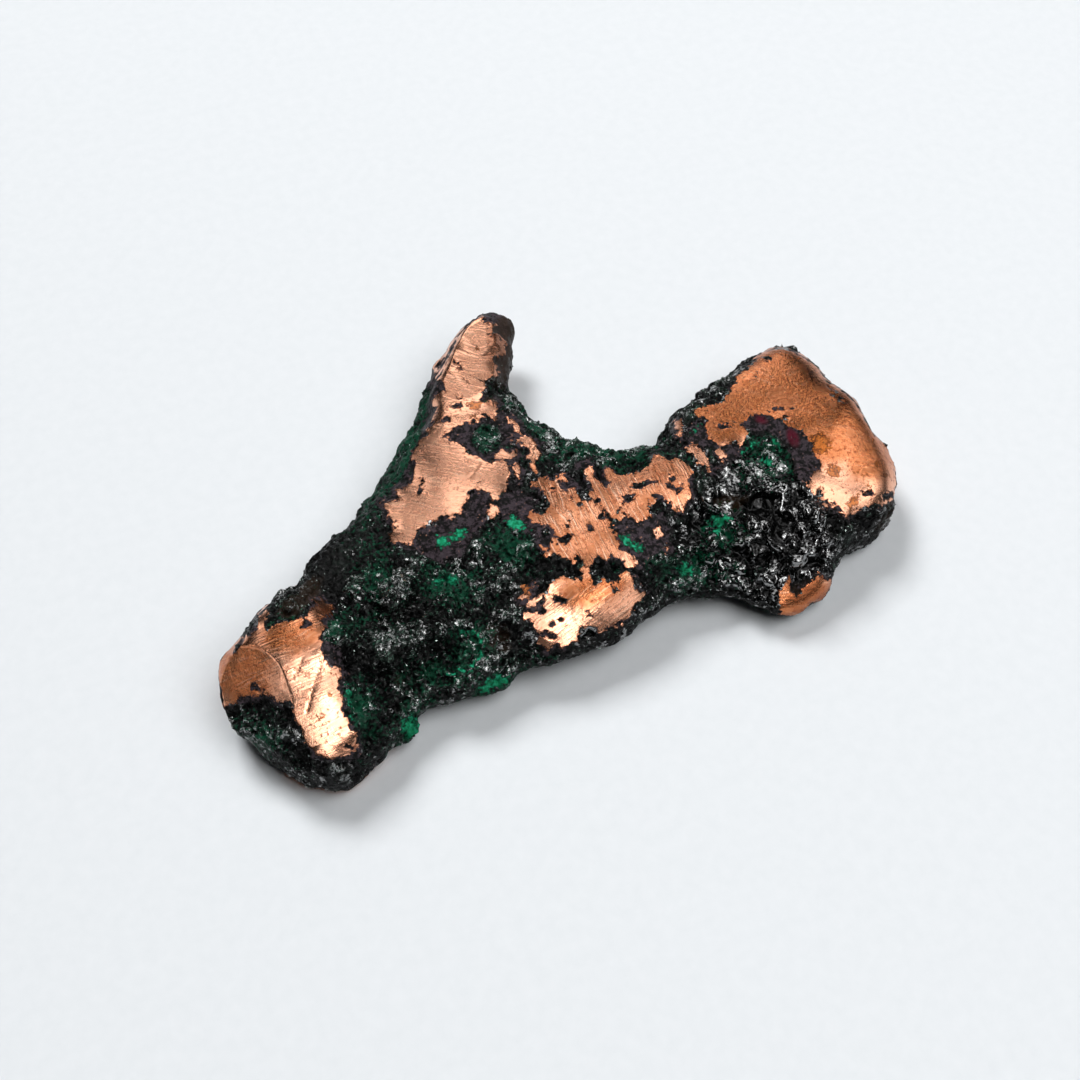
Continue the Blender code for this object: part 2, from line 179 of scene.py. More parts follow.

# %% [markdown]
# ## Film, specks, malachite and rust
# Between metal and crust lies cuprite, a smooth purple-grey film.  Small things are dabs: an ellipse
# with its centre, its length, its width and its turn on the sheet.  Specks are pits in the metal and
# gouges are deep scratches.  Tarnish is metal that has gone orange, and golden is only part of the
# way there; some tarnish dabs are also painted shade, darker copper where the metal mirrors less light.
# The browned places are earthy, the smooth slope has a finer crust than the rest, the eye is a round
# of crust within the horn's film, and crimson is where cuprite is thin enough to show red.

# %% Outlines of the cuprite film
FILM = [
    [(420, 527), (433, 523), (445, 515), (463, 510), (465, 500), (477, 487), (491, 496), (497, 502),
     (489, 515), (480, 524), (470, 540), (462, 556), (440, 562), (424, 556), (412, 546)],
    [(497, 500), (507, 490), (520, 488), (535, 500), (530, 517), (545, 522), (540, 540), (524, 530),
     (500, 520)],
    [(612, 526), (625, 515), (645, 518), (662, 512), (672, 530), (660, 552), (640, 562), (622, 548)],
    [(742, 425), (750, 415), (770, 414), (787, 424), (802, 430), (813, 445), (821, 468), (811, 482),
     (798, 478), (790, 450), (775, 434), (755, 430)],
    [(722, 447), (733, 441), (745, 443), (740, 456), (728, 462), (722, 458)],
    [(690, 425), (704, 418), (708, 430), (712, 442), (700, 450), (690, 440)],
    [(322, 642), (334, 644), (344, 654), (343, 666), (331, 666), (322, 655)],
    [(444, 435), (454, 428), (467, 424), (479, 421), (486, 415), (497, 419), (507, 423), (515, 428),
     (524, 436), (515, 438), (506, 444), (504, 452), (497, 461), (486, 462), (475, 456), (466, 448),
     (454, 443)],
    [(480, 314), (492, 309), (506, 311), (519, 324), (521, 336), (514, 350), (510, 372), (508, 384),
     (498, 378), (490, 366), (500, 350), (494, 330), (486, 320)],
    [(427, 374), (434, 368), (441, 376), (446, 388), (436, 396), (434, 406), (429, 420), (424, 440),
     (414, 456), (408, 478), (400, 486), (408, 462), (420, 436), (427, 412), (430, 392)],
]

# %% Dabs: (across, down, length, width, turn in degrees)
SPECKS = [
    (442, 362, 11, 4, -45), (457, 361, 9, 4, 20), (462, 365, 7, 2, 70), (456, 403, 16, 7, -25),
    (460, 395, 5, 3, -20), (445, 419, 9, 4, -15), (420, 485, 2, 7, 10), (552, 488, 6, 6, 0),
    (564, 485, 10, 7, 20), (581, 504, 7, 4, 30), (639, 485, 21, 6, -8), (628, 498, 10, 8, 30),
    (671, 479, 6, 12, 20), (673, 487, 11, 5, 30), (682, 486, 4, 7, 0), (622, 504, 12, 3, -62),
    (610, 517, 13, 3, 60), (600, 517, 6, 3, 20), (568, 526, 3, 10, 20), (589, 524, 5, 9, -30),
    (566, 538, 14, 6, -25), (680, 509, 7, 4, 10), (557, 599, 19, 5, 25), (552, 624, 4, 4, 0),
    (549, 636, 15, 7, 15), (562, 620, 4, 3, 0), (592, 617, 7, 2, 20), (620, 623, 7, 4, -30),
    (610, 629, 6, 3, -10), (252, 688, 10, 6, 10), (307, 624, 8, 7, -30), (302, 627, 3, 3, 0),
    (321, 616, 6, 3, 20), (766, 358, 5, 3, 30), (757, 373, 3, 2, 0), (841, 398, 14, 3, 35),
    (830, 387, 8, 3, 35), (779, 409, 12, 2, -5), (787, 417, 6, 5, 0), (722, 426, 13, 5, -10),
    (708, 411, 3, 3, 0), (819, 493, 6, 9, 20), (830, 503, 10, 5, 20), (869, 492, 9, 5, -20),
    (888, 496, 12, 8, -10), (588, 633, 19, 11, -8), (347, 747, 11, 5, 5), (326, 632, 5, 5, 0),
    (634, 497, 3, 5, 0), (655, 497, 5, 4, 0), (598, 500, 4, 8, 30), (570, 497, 5, 4, 0),
]
SMOOTH_SLOPE = [
    (428, 376), (436, 410), (420, 452), (400, 490), (382, 505), (390, 540), (376, 560), (350, 572),
    (328, 604), (296, 604), (312, 560), (350, 515), (388, 448), (408, 400),
]
EYE = (487, 438, 30, 31, 0)
BROWNED = [
    (507, 345, 46, 86, 12), (402, 680, 13, 10, 0), (490, 402, 20, 16, 0), (853, 500, 16, 12, 0),
    (500, 640, 36, 34, 40), (300, 600, 60, 22, -40), (735, 500, 40, 24, 0), (890, 520, 20, 60, 20),
    (812, 600, 50, 40, -20),
]
MALACHITE = [
    (443, 541, 15, 13, 30), (460, 534, 13, 11, -10), (452, 537, 12, 6, -20), (515, 523, 22, 11, 22),
    (452, 580, 14, 9, 25), (438, 578, 9, 5, 0), (490, 403, 11, 8, 10), (628, 540, 15, 9, 45),
    (639, 547, 10, 8, 40), (350, 699, 24, 6, 84), (697, 427, 7, 4, -60), (720, 520, 22, 11, -15),
    (716, 527, 8, 10, 0), (767, 460, 9, 7, 0), (413, 728, 26, 17, 55),
    (686, 569, 12, 15, 0),
]
MALACHITE_STRIP = [
    (478, 690), (488, 681), (500, 675), (513, 674), (508, 683), (497, 690), (484, 697),
]
MALACHITE_VEINS = [
    [(458, 634), (468, 630), (478, 634), (483, 646), (479, 660), (468, 668)],
    [(744, 452), (752, 444), (762, 440), (771, 441), (780, 448)],
    [(447, 676), (460, 671), (474, 671)],
]
VEIN_WIDTH = 3.4             # on the sheet
VERDIGRIS = [
    (487, 438, 30, 26, 0), (472, 650, 34, 40, 20), (512, 545, 44, 40, 10), (692, 571, 40, 22, 0),
    (360, 715, 30, 40, 10), (418, 427, 12, 30, 25), (412, 728, 26, 40, 20), (495, 687, 44, 14, -28),
    (726, 533, 20, 20, 0), (765, 452, 44, 30, 0), (450, 582, 50, 30, 20), (375, 572, 16, 26, 0),
    (598, 452, 70, 14, 5), (406, 442, 34, 100, 28), (376, 492, 16, 36, 35), (530, 425, 44, 14, 38),
    (440, 672, 40, 16, -5), (258, 740, 30, 20, 40), (634, 543, 30, 26, 30), (330, 625, 50, 16, -10),
]
RUST = [
    (820, 443, 22, 24, 20), (833, 471, 15, 14, 0), (475, 403, 15, 13, 0), (475, 416, 10, 7, 0),
    (853, 502, 19, 11, -35), (878, 463, 7, 7, 0), (886, 474, 9, 6, 0), (857, 473, 18, 4, 5),
    (813, 373, 13, 7, 30), (333, 674, 4, 3, 0), (332, 694, 6, 3, 10), (320, 719, 12, 3, 5),
    (291, 627, 4, 4, 0), (478, 342, 5, 5, 0), (527, 590, 12, 16, 0), (735, 580, 12, 15, 0),
    (270, 650, 6, 3, 0), (868, 486, 5, 3, 0),
]
# Tarnish dabs, some of them painted shade as well: they darken the copper where it mirrors less light, as
# on the upper front lobe, the knob and the end of the left lobe.
TARNISH_AND_SHADE = [
    (240, 672, 70, 66, 0), (800, 400, 180, 110, 30), (725, 415, 90, 60, -20), (865, 440, 60, 90, -20),
    (805, 600, 70, 60, 0), (290, 635, 70, 36, -15), (330, 612, 30, 20, 0),
    (595, 588, 80, 38, -20),
]
GOLDEN = [(568, 520, 130, 110, 70), (650, 490, 110, 70, -10)]
CRIMSON = [(793, 437, 12, 20, -25), (761, 419, 13, 7, 20)]
GOUGE_WIDTH = 1.0            # on the sheet
GOUGES = [
    [(322, 661), (318, 671), (313, 686), (310, 701), (307, 713)],
    [(302, 659), (299, 667), (296, 673)],
    [(640, 461), (631, 485), (622, 508)], [(600, 507), (606, 513), (612, 521)],
    [(481, 463), (475, 472), (470, 478)],
]


# %% [markdown]
# ## How far inside
# A surface that is told only "copper" or "crust" has an edge as coarse as its mesh.  So each point
# stores how far it lies inside an outline, in millimetres, and a shader can draw the edge anywhere
# between two points, sharp and with its own fine raggedness.

# %% Distances on the sheet
def gap_to_line(places, start, end):
    """How far each place is from a straight stretch of the sheet."""
    along = np.subtract(end, start).astype(float)
    offset = places - start
    share = np.clip(offset @ along / (along @ along), 0.0, 1.0)
    return np.linalg.norm(offset - share[:, None] * along, axis=1)


def inside_outline(places, outline):
    """Millimetres inside a closed outline, negative outside."""
    gap = np.full(len(places), np.inf)
    inside = np.zeros(len(places), dtype=bool)
    for start, end in zip(outline, outline[1:] + outline[:1]):
        gap = np.minimum(gap, gap_to_line(places, start, end))
        straddles = (places[:, 1] < start[1]) != (places[:, 1] < end[1])
        rise = end[1] - start[1]
        if rise:
            crossing = start[0] + (places[:, 1] - start[1]) * (end[0] - start[0]) / rise
            inside ^= straddles & (places[:, 0] < crossing)
    return np.where(inside, gap, -gap) / UNITS_PER_MM


def inside_dab(places, dab):
    """Millimetres inside an ellipse, negative outside."""
    across, down, length, width, turn = dab
    angle = math.radians(turn)
    offset = places - (across, down)
    along = (offset[:, 0] * math.cos(angle) + offset[:, 1] * math.sin(angle)) / (length / 2)
    aside = (offset[:, 1] * math.cos(angle) - offset[:, 0] * math.sin(angle)) / (width / 2)
    return (1.0 - np.hypot(along, aside)) * min(length, width) / 2 / UNITS_PER_MM


def inside_line(places, route, width):
    """Millimetres inside a line of this width, negative outside."""
    gap = np.full(len(places), np.inf)
    for start, end in zip(route, route[1:]):
        gap = np.minimum(gap, gap_to_line(places, start, end))
    return (width / 2 - gap) / UNITS_PER_MM


def widest(layers):
    """The greatest of several layers at each place."""
    return np.max(np.stack(list(layers)), axis=0)


# %% [markdown]
# ## Noise for a rough surface
# `waves` gives soft waves about 1 high, `crests` folds them into sharp tangled ridges, and `grains`
# gives rounded lumps that touch.  All are sized in millimetres, and each use has its own shift, so
# no two patterns line up.

# %% Noise at many points
SHIFT = Vector((17.31, 5.77, 29.13))


def waves(points, size, use):
    """Soft waves between about -1 and 1; points are in metres, size in millimetres."""
    step = 1.0 / (size * MM)
    shift = SHIFT * use
    return np.array([noise.noise(Vector(point) * step + shift) for point in points]) * 1.6


def crests(points, size, use):
    """Sharp tangled ridges: 1 on the crest, falling to about 0 between them."""
    step = 1.0 / (size * MM)
    shift = SHIFT * (use + 0.5)
    drift = np.array([noise.noise_vector(Vector(point) * step * 0.8 + shift) for point in points])
    return 1.0 - np.abs(waves(points + drift * size * MM * 0.55, size, use))


def grains(points, size, use):
    """Rounded lumps: 1 at the top of each, falling to 0 in a crease where they meet."""
    step = 1.0 / (size * MM)
    shift = SHIFT * use
    gaps = [noise.voronoi(Vector(point) * step + shift)[0][0] for point in points]
    return 1.0 - np.clip(np.array(gaps) / 0.75, 0.0, 1.0) ** 2


def ramp(values, low, high):
    """0 below low, 1 above high, and an even slope with soft ends between."""
    share = np.clip((values - low) / (high - low), 0.0, 1.0)
    return share * share * (3.0 - 2.0 * share)


# %% [markdown]
# ## The skin
# The solid has facets of one to two millimetres.  A voxel remesh gives it small even faces, and
# smoothing melts the facets away.  The remesh works on many places at once and numbers its points as
# they come, so they are sorted by place, or the random draws would fall differently each run.

# %% Remesh the solid
SKIN_FACE = 0.21             # millimetres
SKIN_MELT = 18               # rounds of smoothing that take the facets out
COPPER_MELT = 260            # more rounds, where rubbing has polished the metal
SWELL = 0.12                 # millimetres that smoothing takes off, given back


def apply_modifiers(thing):
    """Replace an object's mesh by what its modifiers make of it."""
    graph = bpy.context.evaluated_depsgraph_get()
    mesh = bpy.data.meshes.new_from_object(thing.evaluated_get(graph))
    thing.modifiers.clear()
    thing.data = mesh


def read_points(mesh):
    """A mesh's points, in metres."""
    flat = np.empty(len(mesh.vertices) * 3, dtype=np.float32)
    mesh.vertices.foreach_get("co", flat)
    return flat.reshape(-1, 3).astype(float)


def read_normals(mesh):
    """The way that each point of a mesh faces."""
    flat = np.empty(len(mesh.vertices) * 3, dtype=np.float32)
    mesh.vertex_normals.foreach_get("vector", flat)
    return flat.reshape(-1, 3).astype(float)


def write_points(mesh, points):
    """Put moved points back into a mesh."""
    mesh.vertices.foreach_set("co", points.astype(np.float32).ravel())
    mesh.update()


def vertex_group(thing, name, weights):
    """Give each point its weight in a new group, in steps of a tenth."""
    group = thing.vertex_groups.new(name=name)
    steps = np.rint(weights * 10).astype(int)
    for step in range(1, 11):
        group.add(np.nonzero(steps == step)[0].tolist(), step / 10, "REPLACE")


def melt(thing, rounds, group=""):
    """Smooth an object's mesh, all of it or where a vertex group says."""
    modifier = thing.modifiers.new("Melt", "SMOOTH")
    modifier.factor = 0.5
    modifier.iterations = rounds
    modifier.vertex_group = group
    apply_modifiers(thing)


def sort_quads(thing):
    """Number a mesh's points by their place, and its four-sided faces by their points."""
    points = read_points(thing.data)
    order = np.lexsort(points.T)
    rank = np.empty(len(order), dtype=int)
    rank[order] = np.arange(len(order))
    corners = np.empty(len(thing.data.loops), dtype=np.int32)
    thing.data.loops.foreach_get("vertex_index", corners)
    faces = rank[corners].reshape(-1, 4)
    turns = (faces.argmin(axis=1)[:, None] + np.arange(4)) % 4
    faces = np.take_along_axis(faces, turns, axis=1)
    faces = faces[np.lexsort(faces.T)]
    mesh = bpy.data.meshes.new(thing.name)
    mesh.from_pydata(points[order].tolist(), [], faces.tolist())
    thing.data = mesh


skin = bpy.data.objects.new("nugget_skin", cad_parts["copper_nugget"].data.copy())
bpy.context.scene.collection.objects.link(skin)
skin.data.materials.clear()
remesh = skin.modifiers.new("Even faces", "REMESH")
remesh.mode = "VOXEL"
remesh.voxel_size = SKIN_FACE * MM
apply_modifiers(skin)
sort_quads(skin)
melt(skin, SKIN_MELT)
write_points(skin.data, read_points(skin.data) + read_normals(skin.data) * SWELL * MM)
print("skin:", len(skin.data.vertices), "points,", len(skin.data.polygons), "faces")

# %% [markdown]
# ## True up the rim and the right lobe
# The solid is plain, so its rim cuts a corner here and there, and the right lobe's top is too level.
# Each nudge moves what lies under a dab of the sheet, full in the middle and fading to nothing at its
# edge, so no step is left.

# %% Nudge the places where the solid is too plain
NUDGES = [                   # a dab, then the millimetres to the right, ahead and up
    ((830, 394, 84, 72, 45), (0.6, 0.2, 0.0)),
    ((898, 505, 50, 50, 0), (-0.4, 0.2, 0.0)),
    ((888, 438, 44, 50, 0), (-0.5, 0.0, 0.0)),
    ((838, 425, 150, 130, 0), (0.0, 0.0, 0.7)),
    ((852, 506, 120, 60, -25), (0.0, 0.0, -0.4)),
    ((503, 312, 44, 36, 0), (0.0, -0.3, 0.0)),
    ((478, 328, 70, 48, -50), (-0.5, 0.3, 0.2)),
    ((515, 345, 44, 60, 0), (0.0, 0.0, 0.2)),
    ((512, 405, 48, 48, 0), (0.6, 0.7, 0.0)),
    ((403, 452, 70, 56, -50), (-0.7, 0.6, 0.0)),
    ((334, 542, 70, 56, -45), (-0.5, 0.45, 0.0)),
    ((220, 668, 56, 90, 0), (-0.5, 0.0, 0.0)),
    ((244, 752, 70, 60, 40), (0.6, 0.5, 0.0)),
    ((846, 566, 50, 70, 20), (-0.6, 0.2, 0.0)),
]
sight_ahead = Vector((-math.sin(SHEET_AZIMUTH), math.cos(SHEET_AZIMUTH), 0.0))

points = read_points(skin.data)
places = on_sheet(points)
for dab, (right, ahead, up) in NUDGES:
    share = ramp(inside_dab(places, dab), 0.0, min(dab[2], dab[3]) / 2 / UNITS_PER_MM)
    move = sight_right * right + sight_ahead * ahead + Vector((0, 0, up))
    points += share[:, None] * np.array(move) * MM
write_points(skin.data, points)

# %% [markdown]
# ## Lay the markings on the skin
# Where a point faces the sheet, it takes the drawn markings.  Where it faces away, nothing is drawn,
# so broad noise spreads patches of copper in the same manner.

# %% Copper, crust, film and malachite at every point
RAGGED = 0.20                # millimetres that the crust's broken edge wanders
RIM_TURN = 0.16              # nothing rubs past the rim, where the surface turns away
RIM_DEPTH = 2.5              # millimetres inside the copper for each further unit of facing
VERDIGRIS_MOST = 1.2         # millimetres, so that no patch is greener than this in its middle

points = read_points(skin.data)
normals = read_normals(skin.data)
places = on_sheet(points)
to_eye = np.array(sight_eye) - points
facing = (normals * to_eye).sum(axis=1) / np.linalg.norm(to_eye, axis=1)
drawn = ramp(facing, -0.25, -0.02)
edge_wander = (waves(points, 1.2, 1) + waves(points, 0.6, 2)) * RAGGED


def laid(marking, elsewhere=-2.0):
    """A marking where the sheet reaches, and something else on the far sides."""
    return marking * drawn + elsewhere * (1.0 - drawn)


BRUSHED = [HORN_COPPER, PLATE_COPPER, FRONT_COPPER, END_COPPER, RIGHT_COPPER, KNOB_COPPER]
areas = np.stack([inside_outline(places, outline) for outline in BRUSHED])
islets = widest(inside_outline(places, ring) for ring in ISLET_COPPER)
specks = laid(widest(inside_dab(places, dab) for dab in SPECKS))
worn = np.minimum(np.maximum(areas.max(axis=0), islets), (facing - RIM_TURN) * RIM_DEPTH)
copper = laid(worn, waves(points, 13.0, 3) * 2.2 + waves(points, 4.0, 4) * 0.9 - 1.1)
copper = np.minimum(copper, -specks) + edge_wander
film = laid(widest(inside_outline(places, outline) for outline in FILM)) + edge_wander * 0.6
malachite = laid(widest([
    *(inside_dab(places, dab) for dab in MALACHITE),
    *(inside_line(places, route, VEIN_WIDTH) for route in MALACHITE_VEINS),
    inside_outline(places, MALACHITE_STRIP),
]))
verdigris = laid(widest(inside_dab(places, dab) for dab in VERDIGRIS), waves(points, 7.0, 5) * 2.5 - 0.8)
verdigris = np.minimum(verdigris, VERDIGRIS_MOST)
rust = laid(widest(inside_dab(places, dab) for dab in RUST))
crimson = laid(widest(inside_dab(places, dab) for dab in CRIMSON))
browned = laid(widest(inside_dab(places, dab) for dab in BROWNED), waves(points, 9.0, 22) - 0.4)
eye = laid(inside_dab(places, EYE))
even = ramp(laid(inside_outline(places, SMOOTH_SLOPE), -0.3), -0.6, 0.6)
film = np.maximum(film, copper + 0.25 + 0.60 * waves(points, 3.2, 21))
film = np.minimum(film, -eye)
gouge = laid(widest(inside_line(places, route, GOUGE_WIDTH) for route in GOUGES))
tarnish_and_shade = laid(widest(inside_dab(places, dab) for dab in TARNISH_AND_SHADE), 0.2)
golden = laid(widest(inside_dab(places, dab) for dab in GOLDEN))
tarnish_and_shade = np.maximum(np.clip(tarnish_and_shade, -1.0, 1.0), np.clip(golden, -1.0, 0.3))
print("bare copper:", round(100 * float((copper > 0).mean())), "% of the points")

# %% [markdown]
# ## Polish the metal
# Rubbing levels the metal, so the smoothing is stronger there.  Two places are worn flat: the end of
# the left lobe, with a crisp crest beside it, and the horn's ridge.  Each is cut as a file would do
# it: whatever stands above a plane is moved down onto the plane.

# %% Smooth the worn copper, and cut the end facet and the horn's flat
FACET_POINT = np.array((-36.7, -13.3, 10.4)) * MM
FACET_FACING = np.array(Vector((-0.62, -0.30, 0.72)).normalized())
FACET_CUT = 0.50             # millimetres worn off past the solid's own facet
FACET_REACH = (241, 702, 102, 116, 0)
HORN_REACH = (476, 356, 92, 160, 36)
HORN_CUT = 0.7               # millimetres worn off the horn's ridge

vertex_group(skin, "polished", ramp(copper, -0.5, 0.3))
melt(skin, COPPER_MELT, "polished")
points = read_points(skin.data)
beyond = np.maximum((points - FACET_POINT) @ FACET_FACING + FACET_CUT * MM, 0.0)
crest_line = laid(inside_dab(places, FACET_REACH))
points -= (beyond * ramp(crest_line, 0.0, 0.3))[:, None] * FACET_FACING
horn = ramp(laid(inside_dab(places, HORN_REACH)), 0.0, 2.4)
on_top = (horn > 0.5) & (facing > 0.6)
horn_facing = read_normals(skin.data)[on_top].mean(axis=0)
horn_facing /= np.linalg.norm(horn_facing)
horn_level = np.percentile(points[on_top] @ horn_facing, 98) - HORN_CUT * MM
beyond = np.maximum(points @ horn_facing - horn_level, 0.0)
points -= (beyond * horn)[:, None] * horn_facing
write_points(skin.data, points)
print("horn's flat faces", horn_facing.round(2))
print("and takes off", round(beyond[on_top].max() / MM, 2), "mm")
normals = read_normals(skin.data)

# %% [markdown]
# ## Relief of the crust
# The crust is a heap of lumps with winding crests and small grains on them.  The mass on the right
# and a few pebbles are smooth glassy lumps instead, and the long slope on the left is more even.
# Towards the metal the crust thins out to a film.  All of it is real geometry, moved out along the
# surface's own facing.  Every height here is in millimetres.

# %% Raise the crust
GLASSY_MASS = [
    (722, 470), (745, 450), (780, 452), (800, 475), (812, 492), (830, 512), (836, 545), (826, 572),
    (790, 585), (772, 610), (735, 598), (712, 580), (690, 560), (680, 530), (700, 500),
]
GLASSY_PEBBLES = [
    (589, 633, 24, 14, -10), (378, 609, 12, 8, 0), (374, 595, 34, 7, 25), (782, 349, 16, 8, 0),
]
glassy = ramp(laid(inside_outline(places, GLASSY_MASS)) + edge_wander, -0.6, 0.8)
pebbles = laid(widest(inside_dab(places, dab) for dab in GLASSY_PEBBLES))
glassy = np.maximum(glassy, ramp(pebbles, -0.2, 0.2))
thick = ramp(-copper, 0.15, 1.0) * (1.0 - 0.9 * ramp(film, -0.4, 0.1))
edge = ramp(-copper, 0.06, 0.30)
upward = ramp(normals[:, 2], 0.0, 0.7)
coarse_crests = crests(points, 1.7, 7)
fine_crests = crests(points, 0.85, 8)
ridge = np.maximum(ramp(coarse_crests, 0.84, 0.97), 0.8 * ramp(fine_crests, 0.78, 0.95))
heap = 0.50 * waves(points, 3.6, 6) + 0.55 * (coarse_crests - 0.66)
sugar = 0.46 * (fine_crests - 0.66) + 0.16 * (grains(points, 0.7, 9) - 0.7)
lumps = 0.55 * waves(points, 3.0, 10) + 0.90 * (grains(points, 1.7, 11) - 0.7)
lumps += 0.22 * (grains(points, 0.8, 23) - 0.7)
rough = heap * (0.15 + 0.85 * upward) * (1.0 - 0.5 * even)
rough += sugar * (0.55 + 0.45 * upward) * (1.0 - 0.3 * even)
relief = (rough * (1.0 - glassy) + lumps * glassy) * thick
relief -= 0.14 * edge                                  # the crust's edge lies below the metal
relief -= 0.10 * ramp(specks, -0.05, 0.15)
relief += (0.10 + 0.15 * waves(points, 0.8, 12)) * ramp(malachite, -0.1, 0.3)
relief -= 0.05 * ramp(gouge, -0.10, 0.0)
LOWEST = CAD_BOX[0].z
HIGHEST = CAD_BOX[1].z + 0.33 * MM                     # no grain stands out further than this
points += normals * relief[:, None] * MM
points[:, 2] = np.clip(points[:, 2], LOWEST, HIGHEST)
write_points(skin.data, points)
print("relief, in millimetres:", round(relief.min(), 2), "to", round(relief.max(), 2))

# %% [markdown]
# ## Which way the copper was rubbed
# Each worn face was rubbed one way, and its fine scratches run parallel, deep on one face and faint
# on another.  Every point stores its place across and along the scratches of its own face, and how
# deep they are there, so one texture serves them all.

# %% Scratch directions, and every layer kept on the mesh
SCRATCH_TURNS = np.radians([12.0, 64.0, -38.0, -24.0, 20.0, 0.0])    # in the order of BRUSHED
SCRATCH_DEPTHS = np.array([0.35, 0.85, 0.45, 0.35, 0.12, 0.30])
face = areas.argmax(axis=0)
turn = SCRATCH_TURNS[face]
along = (places[:, 0] * np.cos(turn) + places[:, 1] * np.sin(turn)) / UNITS_PER_MM
across = (places[:, 1] * np.cos(turn) - places[:, 0] * np.sin(turn)) / UNITS_PER_MM


def store(mesh, name, values):
    """Keep one number for each point under a name that a shader can read."""
    layer = mesh.attributes.new(name, "FLOAT", "POINT")
    layer.data.foreach_set("value", values.astype(np.float32))


LAYERS = {
    "copper": copper, "film": film, "malachite": malachite, "verdigris": verdigris,
    "rust": rust, "crimson": crimson, "gouge": gouge, "along": along, "across": across,
    "scratched": SCRATCH_DEPTHS[face], "relief": relief, "glassy": glassy, "tarnish_and_shade": tarnish_and_shade,
    "browned": browned, "even": even, "ridge": ridge,
}
for name, values in LAYERS.items():
    store(skin.data, name, values)
print("layers:", ", ".join(LAYERS))

# %% [markdown]
# ## Thin out the plain faces
# Smooth metal and the hidden underside need fewer faces than the crust does.  A decimation with
# weights brings the skin under 200 000 triangles and leaves the crust its detail.

# %% Decimate, shade smooth, and tie to the frame
SKIN_TRIANGLES = 196000

keep = ramp(-np.abs(copper), -0.6, -0.1) + 0.9 * ramp(-copper, 0.0, 0.3) * ramp(facing, -0.2, 0.2)
keep += ramp(rust, -0.8, -0.3) + ramp(gouge, -0.4, -0.1) + ramp(-np.abs(crest_line), -0.8, -0.4)
vertex_group(skin, "spare", 1.0 - np.clip(keep, 0.0, 1.0))
thinning = skin.modifiers.new("Thin out", "DECIMATE")
thinning.use_collapse_triangulate = True
thinning.ratio = SKIN_TRIANGLES / (2 * len(skin.data.polygons))
thinning.vertex_group = "spare"
thinning.vertex_group_factor = 0.6
apply_modifiers(skin)
skin.vertex_groups.clear()
skin.data.shade_smooth()
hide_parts("copper_nugget")
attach(skin, "root")
print("skin:", len(skin.data.polygons), "triangles")

# %% [markdown]
# ## The druse
# The crust glitters because it is set with tiny crystals and broken grains, which catch the light on
# flat faces.  Each is a stretched and dented octahedron, turned at random.  They are strewn over the
# crust, one at most in each small cell of space, sunk a little, and joined in one mesh for the top
# and one for the sides and the underside.

# %% Strew the crystals
OCTAHEDRON = np.array([(1, 0, 0), (-1, 0, 0), (0, 1, 0), (0, -1, 0), (0, 0, 1), (0, 0, -1)])
SIDES = np.array([(0, 2, 4), (2, 1, 4), (1, 3, 4), (3, 0, 4), (2, 0, 5), (1, 2, 5), (3, 1, 5), (0, 3, 5)])


def random_turns(rng, count):
    """Even random rotations, as matrices."""
    quaternion = rng.normal(size=(count, 4))
    w, x, y, z = (quaternion / np.linalg.norm(quaternion, axis=1, keepdims=True)).T
    return np.stack([
        np.stack([1 - 2 * (y * y + z * z), 2 * (x * y - z * w), 2 * (x * z + y * w)], axis=1),
        np.stack([2 * (x * y + z * w), 1 - 2 * (x * x + z * z), 2 * (y * z - x * w)], axis=1),
        np.stack([2 * (x * z - y * w), 2 * (y * z + x * w), 1 - 2 * (x * x + y * y)], axis=1),
    ], axis=1)


def strew(name, share, spacing, radii, limit, seed):
    """A mesh of crystals where share, from 0 to 1, lets them grow; sizes are in millimetres."""
    rng = np.random.default_rng(seed)
    tries = rng.permutation(np.nonzero(rng.random(len(points)) < share)[0])
    cells = np.floor(points[tries] / (spacing * MM)).astype(int)
    _, first = np.unique(cells, axis=0, return_index=True)
    hosts = tries[rng.permutation(first)[:limit]]
    count = len(hosts)
    radius = rng.uniform(*radii, count) * MM * (1.0 + 0.6 * (rng.random(count) > 0.95))
    shape = OCTAHEDRON * rng.uniform(0.55, 1.35, (count, 1, 3)) + rng.normal(0, 0.16, (count, 6, 3))
    shape = np.einsum("nij,nvj->nvi", random_turns(rng, count), shape * radius[:, None, None])
    seat = points[hosts] + normals[hosts] * (rng.uniform(-0.8, -0.3, count) * radius)[:, None]
    corners = (shape + seat[:, None, :]).reshape(-1, 3)
    corners[:, 2] = np.clip(corners[:, 2], LOWEST, HIGHEST)
    faces = (SIDES[None] + 6 * np.arange(count)[:, None, None]).reshape(-1, 3)
    mesh = bpy.data.meshes.new(name)
    mesh.from_pydata(corners.tolist(), [], faces.tolist())
    store(mesh, "tone", np.repeat(rng.random(count), 6))
    store(mesh, "verdigris", np.repeat(verdigris[hosts], 6))
    crystals = bpy.data.objects.new(name, mesh)
    bpy.context.scene.collection.objects.link(crystals)
    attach(crystals, "root")
    print(name + ":", count, "crystals,", len(faces), "faces")
    return crystals


bare = np.maximum(ramp(malachite, -0.3, 0.0), 1.0 - thick)
seen = ramp(facing, -0.15, 0.1)
clustered = ramp(waves(points, 2.2, 14), -0.2, 0.6) * (0.3 + 0.7 * upward)
clustered = np.maximum(clustered, ramp(eye, -0.1, 0.2))
DRUSE = [
    strew("crust_druse", (1.0 - bare) * (1.0 - 0.7 * glassy) * seen * clustered,
          spacing=0.30, radii=(0.06, 0.15), limit=12000, seed=11),
    strew("hidden_druse", (1.0 - bare) * (1.0 - seen) * clustered,
          spacing=0.40, radii=(0.08, 0.18), limit=9000, seed=13),
]

# %% [markdown]
# ## One helper for all the materials
# Colours are written as on screen, in hex, and shaders want linear light, so one function converts
# them.  One more adds a node: it sets its properties and its sockets, links a socket that is given
# another node's output, and returns the new node's own output.

